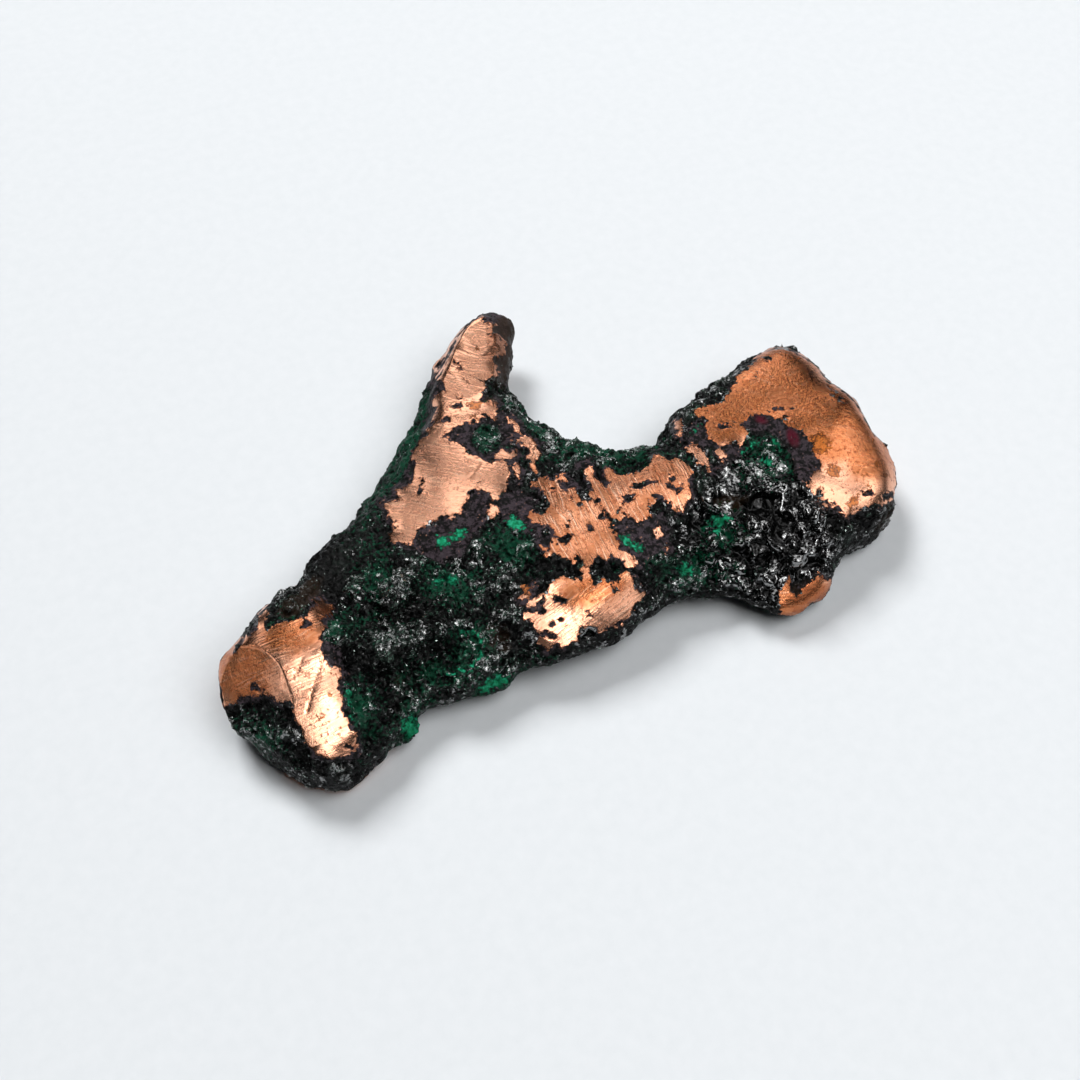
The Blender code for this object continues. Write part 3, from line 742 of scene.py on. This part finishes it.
# %% Colour and node helpers
def linear(code):
    """An sRGB hex colour as linear red, green, blue and alpha."""
    parts = [int(code[start:start + 2], 16) / 255 for start in (1, 3, 5)]
    return tuple(c / 12.92 if c <= 0.04045 else ((c + 0.055) / 1.055) ** 2.4 for c in parts) + (1.0,)


def add(tree, kind, inputs=None, out=0, **settings):
    """Add a node, set or link its inputs by name or number, and return one of its outputs."""
    node = tree.nodes.new("ShaderNode" + kind)
    for name, value in settings.items():
        setattr(node, name, value)
    for key, value in (inputs or {}).items():
        if isinstance(value, bpy.types.NodeSocket):
            tree.links.new(value, node.inputs[key])
        elif isinstance(value, str):
            node.inputs[key].default_value = linear(value)
        else:
            node.inputs[key].default_value = value
    return node.outputs[out] if node.outputs else node


def new_material(name):
    """A material with an empty node tree."""
    material = bpy.data.materials.new(name)
    material.use_nodes = True
    material.node_tree.nodes.clear()
    return material, material.node_tree


def per_mm(size):
    """The texture scale that gives features of this size in millimetres."""
    return 1.0 / (size * MM)


# %% [markdown]
# ## Native copper with its crust
# Native copper is soft, nearly pure metal.  Here it was worn by water and rubbed by hand: bare,
# pinkish-orange and half-glossy, with fine parallel scratches, so a light above it spreads to a
# streaky glow.  Cuprite film is a smooth purple-grey, and the crust of tenorite and matrix is
# granular, glossy and almost black, tinted by green verdigris.  Malachite is chalky bright green.
# One material holds them all.  The layers that the mesh carries choose between them, and fine noise
# crumbles the edges.

# %% Where each finish lies
COLOUR_MIX = {"data_type": "RGBA", "out": 2}
SMOOTH = {"interpolation_type": "SMOOTHSTEP"}
TIMES_PLUS = {"operation": "MULTIPLY_ADD"}   # input 0 times input 1, plus input 2

nugget_material, tree = new_material("native_copper_with_crust")
place = {"Vector": add(tree, "TexCoord", out="Object")}
layers = {name: add(tree, "Attribute", out="Fac", attribute_name=name) for name in LAYERS}


def span(low, high):
    """The settings of a Map Range that runs from low to high."""
    return {"From Min": low, "From Max": high}


crumbs = add(tree, "TexNoise", {**place, "Scale": per_mm(0.42), "Detail": 3.0, "Roughness": 0.6})
crumble = add(tree, "Math", {0: crumbs, 1: 0.5}, operation="SUBTRACT")
copper_depth = add(tree, "Math", {0: crumble, 1: 1.3, 2: layers["copper"]}, **TIMES_PLUS)
is_copper = add(tree, "MapRange", {"Value": copper_depth, **span(-0.015, 0.015)}, **SMOOTH)
film_depth = add(tree, "Math", {0: crumble, 1: 2.2, 2: layers["film"]}, **TIMES_PLUS)
is_film = add(tree, "MapRange", {"Value": film_depth, **span(-0.02, 0.02)}, **SMOOTH)
patches = add(tree, "TexNoise", {**place, "Scale": per_mm(0.9), "Detail": 3.0, "Roughness": 0.6})
patchy = add(tree, "Math", {0: patches, 1: 0.5}, operation="SUBTRACT")
bloom = layers["malachite"]
for wander in (patchy, crumble):
    bloom = add(tree, "Math", {0: wander, 1: 1.6, 2: bloom}, **TIMES_PLUS)
is_malachite = add(tree, "MapRange", {"Value": bloom, **span(0.0, 0.05)}, **SMOOTH)
print("finishes: copper, film and malachite, with crust wherever none of them lies")

# %% [markdown]
# ### Scratches
# The metal was rubbed to and fro, so long hairlines run over it, sway a little, and are crossed by a
# few strays.  A noise stretched along the rubbing draws them.  It serves twice, for the colour and
# for the dents, so that the two agree.

# %% Brushed scratches: a noise stretched along the way that each face was rubbed
SCRATCH_SIZE = (0.22, 3.6, 1.0)              # millimetres across and along
STRAY_SIZE = (0.34, 2.6, 1.0)
STRAY_TURN = math.radians(62.0)
SWAY = 0.5                                   # millimetres to the side

sway = add(tree, "TexNoise", {**place, "Scale": per_mm(4.0)})
swayed = add(tree, "Math", {0: sway, 1: SWAY, 2: layers["across"]}, **TIMES_PLUS)
rubbed = add(tree, "CombineXYZ", {0: swayed, 1: layers["along"]})
strokes = add(tree, "VectorMath", {0: rubbed, 1: SCRATCH_SIZE}, operation="DIVIDE")
strokes = add(tree, "TexNoise", {"Vector": strokes, "Scale": 1.0, "Detail": 2.0})
strokes = add(tree, "MapRange", {"Value": strokes, **span(0.30, 0.70)})
strays = add(tree, "Mapping", {"Vector": rubbed, "Rotation": (0, 0, STRAY_TURN), "Scale": STRAY_SIZE},
             vector_type="TEXTURE")
strays = add(tree, "TexNoise", {"Vector": strays, "Scale": 1.0, "Detail": 1.0})
strays = add(tree, "MapRange", {"Value": strays, **span(0.60, 0.70), "To Max": -0.20})
scratches = add(tree, "Math", {0: strokes, 1: strays}, operation="ADD")
scratched = add(tree, "Math", {0: scratches, 1: layers["scratched"]}, operation="MULTIPLY")
print("scratches, in millimetres:", SCRATCH_SIZE[0], "wide and", SCRATCH_SIZE[1], "long")

# %% [markdown]
# ### The colours of the metal
# Copper is pinkish where it is rubbed, and goes orange in soft clouds as it tarnishes; the same
# clouds also carry painted shade, darker copper where the metal mirrors less light.  It has fine
# redder specks, dirt in its scratches, and pale hairlines where the last rubbing cut it fresh, which
# also serve as painted glints.  It is brown beside the crust and in the gouges, and iron from the
# rock has left spots of rust.  Each colour is a coat with its own share, laid over the coats before it.

# %% Copper: bright metal, tarnished in soft clouds that also hold painted shade, painted glints on fresh hairlines, brown at the crust's edge
COPPER_BRIGHT = "#F3B392"
COPPER_TARNISHED_AND_SHADED = "#CA7F54"
COPPER_FRESH_GLINT = "#FFD9BE"
COPPER_RED = "#A8542F"
COPPER_EDGE = "#8A4A2C"
RUST_ORANGE = "#A8602A"
RUST_RIM = "#5A2E16"

clouds = add(tree, "TexNoise", {**place, "Scale": per_mm(2.6), "Detail": 5.0, "Roughness": 0.62})
# Painted shade as well as tarnish: under the dabs the copper turns a darker orange where it mirrors less
# light.
tarnish_and_shade_clouds = add(tree, "Math", {0: layers["tarnish_and_shade"], 1: 0.50, 2: clouds}, **TIMES_PLUS)
tarnish_and_shade_clouds = add(tree, "MapRange", {"Value": tarnish_and_shade_clouds, **span(0.10, 1.00)}, **SMOOTH)
speckle = add(tree, "TexNoise", {**place, "Scale": per_mm(0.5), "Detail": 4.0, "Roughness": 0.65})
speckled = add(tree, "Math", {0: layers["tarnish_and_shade"], 1: 0.04, 2: speckle}, **TIMES_PLUS)
redness = add(tree, "MapRange", {"Value": speckled, **span(0.46, 0.74), "To Max": 0.65}, **SMOOTH)
dirty = add(tree, "MapRange", {"Value": scratches, **span(0.30, 0.0), "To Max": 0.55}, **SMOOTH)
dirty = add(tree, "Math", {0: dirty, 1: layers["scratched"]}, operation="MULTIPLY")
# Painted glints: the freshest hairlines are made paler, as fresh metal and as if they caught the light.
fresh_glint = add(tree, "MapRange", {"Value": scratches, **span(0.60, 0.95), "To Max": 0.60}, **SMOOTH)
fresh_glint = add(tree, "Math", {0: fresh_glint, 1: layers["scratched"]}, operation="MULTIPLY")
browning = add(tree, "Math", {0: patchy, 1: 2.0, 2: layers["browned"]}, **TIMES_PLUS)
browning = add(tree, "MapRange", {"Value": browning, **span(0.0, 0.8), "To Max": 0.8}, **SMOOTH)
dulled = add(tree, "Math", {0: browning, 1: 0.6}, operation="MULTIPLY")
rim = add(tree, "MapRange", {"Value": copper_depth, **span(0.20, 0.0), "To Max": 0.75}, **SMOOTH)
rusting = add(tree, "Math", {0: patchy, 1: 1.2, 2: layers["rust"]}, **TIMES_PLUS)
rusting = add(tree, "Math", {0: crumble, 1: 1.6, 2: rusting}, **TIMES_PLUS)
rusty = add(tree, "MapRange", {"Value": rusting, **span(-0.02, 0.10), "To Max": 0.85}, **SMOOTH)
rust_depth = add(tree, "Math", {0: crumble, 1: 3.0, 2: rusting}, **TIMES_PLUS)
rust_inner = add(tree, "MapRange", {"Value": rust_depth, **span(0.10, 0.70)}, **SMOOTH)
rust_colour = add(tree, "Mix", {0: rust_inner, 6: RUST_RIM, 7: RUST_ORANGE}, **COLOUR_MIX)
cut = add(tree, "MapRange", {"Value": layers["gouge"], **span(-0.07, 0.0), "To Max": 0.6})
copper_coats = [
    (tarnish_and_shade_clouds, COPPER_TARNISHED_AND_SHADED), (redness, COPPER_RED), (dirty, COPPER_RED), (fresh_glint, COPPER_FRESH_GLINT),
    (dulled, COPPER_EDGE), (rim, COPPER_EDGE), (rusty, rust_colour), (cut, COPPER_EDGE),
]
copper_colour = COPPER_BRIGHT
for share, colour in copper_coats:
    copper_colour = add(tree, "Mix", {0: share, 6: copper_colour, 7: colour}, **COLOUR_MIX)
print("copper:", len(copper_coats), "coats over", COPPER_BRIGHT)

# %% [markdown]
# ### The colours of the crust
# Tenorite is black, and its hollows are painted blacker still, as shade.  Earth browns it, verdigris
# greens it in drifts of fine dots, and pale threads run over its crests: painted highlights that stand
# for the glints of tiny crystals.  Cuprite film lies next to the metal, with dark pits and flecks of
# copper showing through.  Malachite lies on top of all, its pale flecks partly painted highlights.

# %% Crust: painted shade in its hollows, greyer on its crests, brown in patches
CRUST_HOLLOW_SHADE = "#030303"
CRUST_CREST = "#141C18"
CRUST_BROWN = "#20160E"

# Painted shade: the crust goes to black as the relief falls into its hollows, and keeps its greyer colour
# on the crests.
rise = add(tree, "Math", {0: crumble, 1: 0.5, 2: layers["relief"]}, **TIMES_PLUS)
crest_out_of_shade = add(tree, "MapRange", {"Value": rise, **span(-0.16, 0.34)}, **SMOOTH)
crest_out_of_shade = add(tree, "Mix", {0: layers["glassy"], 2: crest_out_of_shade, 3: 0.0})
earth = add(tree, "TexNoise", {**place, "Scale": per_mm(5.0), "Detail": 4.0, "Roughness": 0.6})
for part, weight in [(layers["browned"], 0.30), (layers["even"], 0.12)]:
    earth = add(tree, "Math", {0: part, 1: weight, 2: earth}, **TIMES_PLUS)
earthy = add(tree, "MapRange", {"Value": earth, **span(0.50, 0.66), "To Max": 0.8}, **SMOOTH)

# %% Verdigris in dots, and pale threads over the crests, which are painted highlights
CRUST_RIDGE_GLINT = "#4D6659"
VERDIGRIS_DARK = "#0B3A28"
VERDIGRIS_PALE = "#3F7F66"

drift = add(tree, "TexNoise", {**place, "Scale": per_mm(2.4), "Detail": 5.0, "Roughness": 0.7})
drifting = add(tree, "Math", {0: drift, 1: 9.0, 2: layers["verdigris"]}, **TIMES_PLUS)
dotting = add(tree, "Math", {0: crumbs, 1: 14.0, 2: drifting}, **TIMES_PLUS)
green = add(tree, "MapRange", {"Value": dotting, **span(10.5, 13.0), "To Max": 0.9}, **SMOOTH)
swirl = add(tree, "TexNoise", {**place, "Scale": per_mm(0.6), "Detail": 3.0, "Distortion": 0.8})
swirl = add(tree, "Math", {0: swirl, 1: 0.5}, operation="SUBTRACT")
swirl = add(tree, "Math", {0: swirl}, operation="ABSOLUTE")
# Painted highlights: pale threads along the crests and the high relief stand for the glints of tiny
# crystals.
glint_lace = add(tree, "MapRange", {"Value": swirl, **span(0.045, 0.008)}, **SMOOTH)
for part, weight in [
    (layers["ridge"], 0.35), (crumble, 1.0), (patchy, 1.8), (layers["relief"], 0.5),
    (layers["even"], -0.5), (layers["glassy"], -1.1),
]:
    glint_lace = add(tree, "Math", {0: part, 1: weight, 2: glint_lace}, **TIMES_PLUS)
glint_laced = add(tree, "MapRange", {"Value": glint_lace, **span(1.05, 1.45), "To Max": 0.90}, **SMOOTH)
glint_thread_colour = add(tree, "Mix", {0: green, 6: CRUST_RIDGE_GLINT, 7: VERDIGRIS_PALE}, **COLOUR_MIX)

# %% Film: purple-grey cuprite with dark pits and flecks of copper
CUPRITE_FILM = "#362E33"
CUPRITE_DEEP = "#0A0909"
COPPER_SPECK = "#9A6E5A"
FILM_BROWN = "#2E231B"
CRIMSON_RED = "#420A1A"

stain = add(tree, "TexNoise", {**place, "Scale": per_mm(0.38), "Detail": 4.0, "Roughness": 0.7})
pitted = add(tree, "Math", {0: patchy, 1: 0.9, 2: stain}, **TIMES_PLUS)
pitted = add(tree, "MapRange", {"Value": pitted, **span(0.44, 0.56)}, **SMOOTH)
specky = add(tree, "Math", {0: speckle, 1: 0.6, 2: stain}, **TIMES_PLUS)
specky = add(tree, "MapRange", {"Value": specky, **span(0.63, 0.60), "To Max": 0.7}, **SMOOTH)
blush = add(tree, "MapRange", {"Value": layers["crimson"], **span(-0.2, 0.3)}, **SMOOTH)
film_coats = [
    (pitted, CUPRITE_DEEP), (specky, COPPER_SPECK), (browning, FILM_BROWN), (blush, CRIMSON_RED),
]
film_colour = CUPRITE_FILM
for share, colour in film_coats:
    film_colour = add(tree, "Mix", {0: share, 6: film_colour, 7: colour}, **COLOUR_MIX)

# %% Malachite, with pale flecks that are partly painted highlights, deeper green at its edges, and then all the coats together
MALACHITE_BRIGHT = "#0D7A51"
MALACHITE_PALE_GLINT = "#2A9E78"
MALACHITE_DEEP = "#06402C"

# Partly painted highlights: pale flecks at random stand for the stone's paler grains and for the glints
# on them.
chalk_and_glint = add(tree, "MapRange", {"Value": crumbs, **span(0.45, 0.70)}, **SMOOTH)
chalky = add(tree, "Mix", {0: chalk_and_glint, 6: MALACHITE_BRIGHT, 7: MALACHITE_PALE_GLINT}, **COLOUR_MIX)
fringe = add(tree, "MapRange", {"Value": bloom, **span(0.45, 0.05)}, **SMOOTH)
chalky = add(tree, "Mix", {0: fringe, 6: chalky, 7: MALACHITE_DEEP}, **COLOUR_MIX)
surface_coats = [
    (crest_out_of_shade, CRUST_CREST), (earthy, CRUST_BROWN), (green, VERDIGRIS_DARK), (glint_laced, glint_thread_colour),
    (is_film, film_colour), (is_malachite, chalky), (is_copper, copper_colour),
]
surface_colour = CRUST_HOLLOW_SHADE
for share, colour in surface_coats:
    surface_colour = add(tree, "Mix", {0: share, 6: surface_colour, 7: colour}, **COLOUR_MIX)
print("surface:", len(surface_coats), "coats, one of them the film with", len(film_coats))

# %% [markdown]
# ### Fine bump and gloss
# What is smaller than a face of the mesh is left to bump: hairlines and pits on the metal, and on
# the crust small broken facets, each tilted its own way so that it catches the light alone.  Copper
# is half-glossy, the film is duller, and malachite is like chalk.  The crust's glints come from a
# clear coat as bright as those minerals are, laid only where crystals would be clean.

# %% Fine bump: scratches and pits on the metal, broken facets on the crust
FACET_SIZE = 0.36            # millimetres across one broken facet of the crust
FACET_TILT = 1.7             # how steeply the facets tilt, as a slope
BUMP_DEPTH = 0.05            # millimetres for a height of 1

pits = add(tree, "MapRange", {"Value": speckle, **span(0.60, 0.70), "To Max": -0.6})
copper_height = add(tree, "Math", {0: scratched, 1: 0.8, 2: pits}, **TIMES_PLUS)
hammered = add(tree, "MapRange", {"Value": layers["tarnish_and_shade"], "To Min": 0.4, "To Max": 1.5})
copper_height = add(tree, "Math", {0: speckle, 1: hammered, 2: copper_height}, **TIMES_PLUS)
facet_tone = add(tree, "TexVoronoi", {**place, "Scale": per_mm(FACET_SIZE)}, out="Color")
facet_middle = facet_tone.node.outputs["Position"]
facet_offset = add(tree, "VectorMath", {0: place["Vector"], 1: facet_middle}, operation="SUBTRACT")
facet_slope = add(tree, "VectorMath", {0: facet_tone, 1: (0.5, 0.5, 0.5)}, operation="SUBTRACT")
facet_height = add(tree, "VectorMath", {0: facet_offset, 1: facet_slope}, out="Value",
                   operation="DOT_PRODUCT")
tilt = FACET_TILT / (BUMP_DEPTH * MM)
facet_height = add(tree, "Math", {0: facet_height, 1: tilt}, operation="MULTIPLY")
crust_height = add(tree, "Math", {0: crumbs, 1: 1.5, 2: facet_height}, **TIMES_PLUS)
coarse = add(tree, "Math", {0: 1.0, 1: is_film}, operation="SUBTRACT")
evenness = add(tree, "Math", {0: layers["even"], 1: -0.5, 2: 1.0}, **TIMES_PLUS)
smoothness = add(tree, "Math", {0: layers["glassy"], 1: -0.90, 2: evenness}, **TIMES_PLUS)
roughening = add(tree, "MapRange", {"Value": coarse, "To Min": 0.40, "To Max": smoothness})
crust_height = add(tree, "Math", {0: crust_height, 1: roughening}, operation="MULTIPLY")
height = add(tree, "Mix", {0: is_copper, 2: crust_height, 3: copper_height})
height = add(tree, "Math", {0: is_copper, 1: 0.5, 2: height}, **TIMES_PLUS)
bump = add(tree, "Bump", {"Height": height, "Strength": 0.8, "Distance": BUMP_DEPTH * MM}, out="Normal")
print("bump, in millimetres:", BUMP_DEPTH, "deep, with facets", FACET_SIZE, "across")

# %% Gloss: copper half-glossy, film duller, crust from glassy to dull, malachite chalky
GLASS_ROUGHNESS = 0.14
FILM_ROUGHNESS = 0.5
CHALK_ROUGHNESS = 0.75
CRYSTAL_IOR = 2.7            # cuprite and tenorite under a little dust

metal = add(tree, "MapRange", {"Value": clouds, **span(0.3, 0.7), "To Min": 0.24, "To Max": 0.29})
roughness = add(tree, "MapRange", {"Value": crumbs, **span(0.35, 0.65), "To Min": 0.3, "To Max": 0.7})
for share, finish in [
    (layers["glassy"], GLASS_ROUGHNESS), (is_film, FILM_ROUGHNESS), (is_malachite, CHALK_ROUGHNESS),
    (is_copper, metal),
]:
    roughness = add(tree, "Mix", {0: share, 2: roughness, 3: finish})
glitter = add(tree, "TexNoise", {**place, "Scale": per_mm(1.4), "Detail": 2.0, "Distortion": 1.0})
for part, weight in [
    (facet_tone, 0.25), (layers["glassy"], 0.24), (layers["relief"], 0.30), (layers["even"], -0.10),
    (glint_lace, 0.07),
]:
    glitter = add(tree, "Math", {0: part, 1: weight, 2: glitter}, **TIMES_PLUS)
wet = add(tree, "MapRange", {"Value": glitter, **span(0.66, 0.80), "To Min": 0.02}, **SMOOTH)
for dry in (is_film, is_malachite, is_copper):
    wet = add(tree, "Mix", {0: dry, 2: wet, 3: 0.0})
shader = add(tree, "BsdfPrincipled", {
    "Base Color": surface_colour, "Metallic": is_copper, "Roughness": roughness, "Normal": bump,
    "Coat Weight": wet, "Coat Roughness": 0.12, "Coat IOR": CRYSTAL_IOR, "Coat Normal": bump,
    "Specular IOR Level": 0.12})
add(tree, "OutputMaterial", {"Surface": shader})
skin.data.materials.append(nugget_material)
print(nugget_material.name + ":", len(tree.nodes), "nodes")

# %% [markdown]
# ## The druse's material
# Tenorite and cuprite crystals are almost black with a half-metal shine.  Most grains are dull and
# broken, and one in five is a clean crystal with a bright face, so some wink and some stay dark.

# %% The crystals' material
GRAIN_DULL = "#0A0B0A"
GRAIN_GREY = "#1A1F1C"
CRYSTAL_FACE = "#8A9590"
CLEAN_SHARE = 0.80           # tones above this are clean crystals
SHUFFLE = 37.0               # turns a crystal's one random tone into a second

druse_material, tree = new_material("tenorite_grain")
tone = add(tree, "Attribute", out="Fac", attribute_name="tone")
druse_green = add(tree, "Attribute", out="Fac", attribute_name="verdigris")
grey = add(tree, "MapRange", {"Value": tone, **span(0.4, CLEAN_SHARE)})
grain_colour = add(tree, "Mix", {0: grey, 6: GRAIN_DULL, 7: GRAIN_GREY}, **COLOUR_MIX)
shuffled = add(tree, "Math", {0: tone, 1: SHUFFLE}, operation="MULTIPLY")
shuffled = add(tree, "Math", {0: shuffled}, operation="FRACT")
greening = add(tree, "Math", {0: shuffled, 1: 2.5, 2: druse_green}, **TIMES_PLUS)
green = add(tree, "MapRange", {"Value": greening, **span(0.6, 2.6), "To Max": 0.9})
grain_colour = add(tree, "Mix", {0: green, 6: grain_colour, 7: VERDIGRIS_DARK}, **COLOUR_MIX)
clean = add(tree, "Math", {0: tone, 1: CLEAN_SHARE}, operation="GREATER_THAN")
grain_colour = add(tree, "Mix", {0: clean, 6: grain_colour, 7: CRYSTAL_FACE}, **COLOUR_MIX)
grain_gloss = add(tree, "MapRange", {"Value": clean, "To Min": 0.5, "To Max": 0.18})
shader = add(tree, "BsdfPrincipled", {
    "Base Color": grain_colour, "Metallic": clean, "Roughness": grain_gloss, "Specular IOR Level": 0.2})
add(tree, "OutputMaterial", {"Surface": shader})
for crystals in DRUSE:
    crystals.data.materials.append(druse_material)
print(druse_material.name + ":", len(tree.nodes), "nodes")

# %% [markdown]
# ## The studio
# The nugget lies on matt white board, whose faint grain hardly shows.  Two soft lamps give the light:
# a window at the back left, which sets the shadows, and a fill high on the right, which softens them.
# Worn copper is a hazy mirror, so it shows mostly the room.  It mirrors neither of those two, but
# broad dim panels at three heights, and two small bright ones that make it sparkle.

# %% Floor
FLOOR_COLOUR = "#D9DCDF"
FLOOR_SPECKLE = "#D1D5D8"
FLOOR_SIDE = 3.0             # metres
FLOOR_GAP = 0.02             # millimetres below the nugget

floor_material, tree = new_material("matt_white_board")
grain = add(tree, "TexNoise", {
    "Vector": add(tree, "TexCoord", out="Object"), "Scale": per_mm(1.5), "Detail": 3.0})
board = add(tree, "Mix", {0: grain, 6: FLOOR_COLOUR, 7: FLOOR_SPECKLE}, **COLOUR_MIX)
shader = add(tree, "BsdfPrincipled", {"Base Color": board, "Roughness": 0.75})
add(tree, "OutputMaterial", {"Surface": shader})
bpy.ops.mesh.primitive_plane_add(size=FLOOR_SIDE, location=(0, 0, CAD_BOX[0].z - FLOOR_GAP * MM))
floor = bpy.context.object
floor.name = "floor"
floor.data.materials.append(floor_material)
print("floor, in millimetres:", round(floor.location.z / MM, 2), "high")

# %% Softboxes, placed as seen from the camera
LAMP_DISTANCE = 0.85         # metres


def softbox(name, rise, turn, side, brightness, distance=LAMP_DISTANCE, lights=False):
    """A square lamp that faces the nugget and is only mirrored, or only lights: rise is its height
    and turn its way round, in degrees to the right of straight ahead.  Brightness is against a
    white board's 1."""
    light = bpy.data.lights.new(name, "AREA")
    light.size = side
    light.energy = brightness * math.pi * side * side
    lamp = bpy.data.objects.new(name, light)
    lamp.visible_glossy = not lights
    lamp.visible_diffuse = lights
    rise, turn = math.radians(rise), math.radians(turn)
    level = sight_right * math.sin(turn) + sight_ahead * math.cos(turn)
    lamp.location = (level * math.cos(rise) + Vector((0, 0, math.sin(rise)))) * distance
    lamp.rotation_mode = "QUATERNION"
    lamp.rotation_quaternion = (-lamp.location).to_track_quat("-Z", "Y")
    bpy.context.scene.collection.objects.link(lamp)


softbox("window", 49, -34, 0.52, 22.0, distance=1.39, lights=True)
softbox("overhead_fill", 62, 105, 0.70, 3.7, lights=True)
MIRRORED_LAMPS = [
    ("high_ahead", 68, 0, 0.36, 2.1), ("high_right", 68, 100, 0.36, 1.7),
    ("high_front", 68, 140, 0.36, 1.8), ("sparkle", 66, 142, 0.13, 10.0),
    ("middle_left", 50, -60, 0.36, 2.0), ("middle_right", 50, 60, 0.36, 2.5),
    ("middle_front", 50, 150, 0.36, 2.2), ("low_sparkle", 46, 150, 0.10, 10.0),
    ("low_left", 30, -110, 0.36, 1.4), ("low_ahead", 30, 0, 0.36, 2.4),
    ("low_right", 30, 60, 0.36, 0.7), ("low_front", 30, 120, 0.36, 1.2),
]
for lamp_settings in MIRRORED_LAMPS:
    softbox(*lamp_settings)
print("lamps that are only mirrored:", len(MIRRORED_LAMPS))

# %% World: a pale backdrop that only the camera sees
BACKDROP = "#E6EAED"

world = bpy.data.worlds.new("studio")
bpy.context.scene.world = world
world.use_nodes = True
tree = world.node_tree
tree.nodes.clear()
add(tree, "OutputWorld", {"Surface": add(tree, "Background", {"Color": BACKDROP, "Strength": 1.0})})
world.cycles_visibility.diffuse = False
world.cycles_visibility.glossy = False

# %% [markdown]
# ## The camera
# It stands at the eye of the sheet that the markings are drawn on, with the same lens, so each
# marking is seen as it was drawn.  The nugget is small and all of it is sharp, so the lens has no
# blur.

# %% The camera
camera = bpy.data.cameras.new("camera")
camera.lens = SHEET_LENS
camera.sensor_width = SHEET_SENSOR
camera.clip_start = 0.01
eye = bpy.data.objects.new("camera", camera)
eye.location = sight_eye
eye.rotation_mode = "QUATERNION"
eye.rotation_quaternion = (-sight_back).to_track_quat("-Z", "Y")
bpy.context.scene.collection.objects.link(eye)
bpy.context.scene.camera = eye
bpy.context.scene.view_settings.view_transform = "Standard"
print("camera, in millimetres from its aim:", round(EYE_DISTANCE / MM))
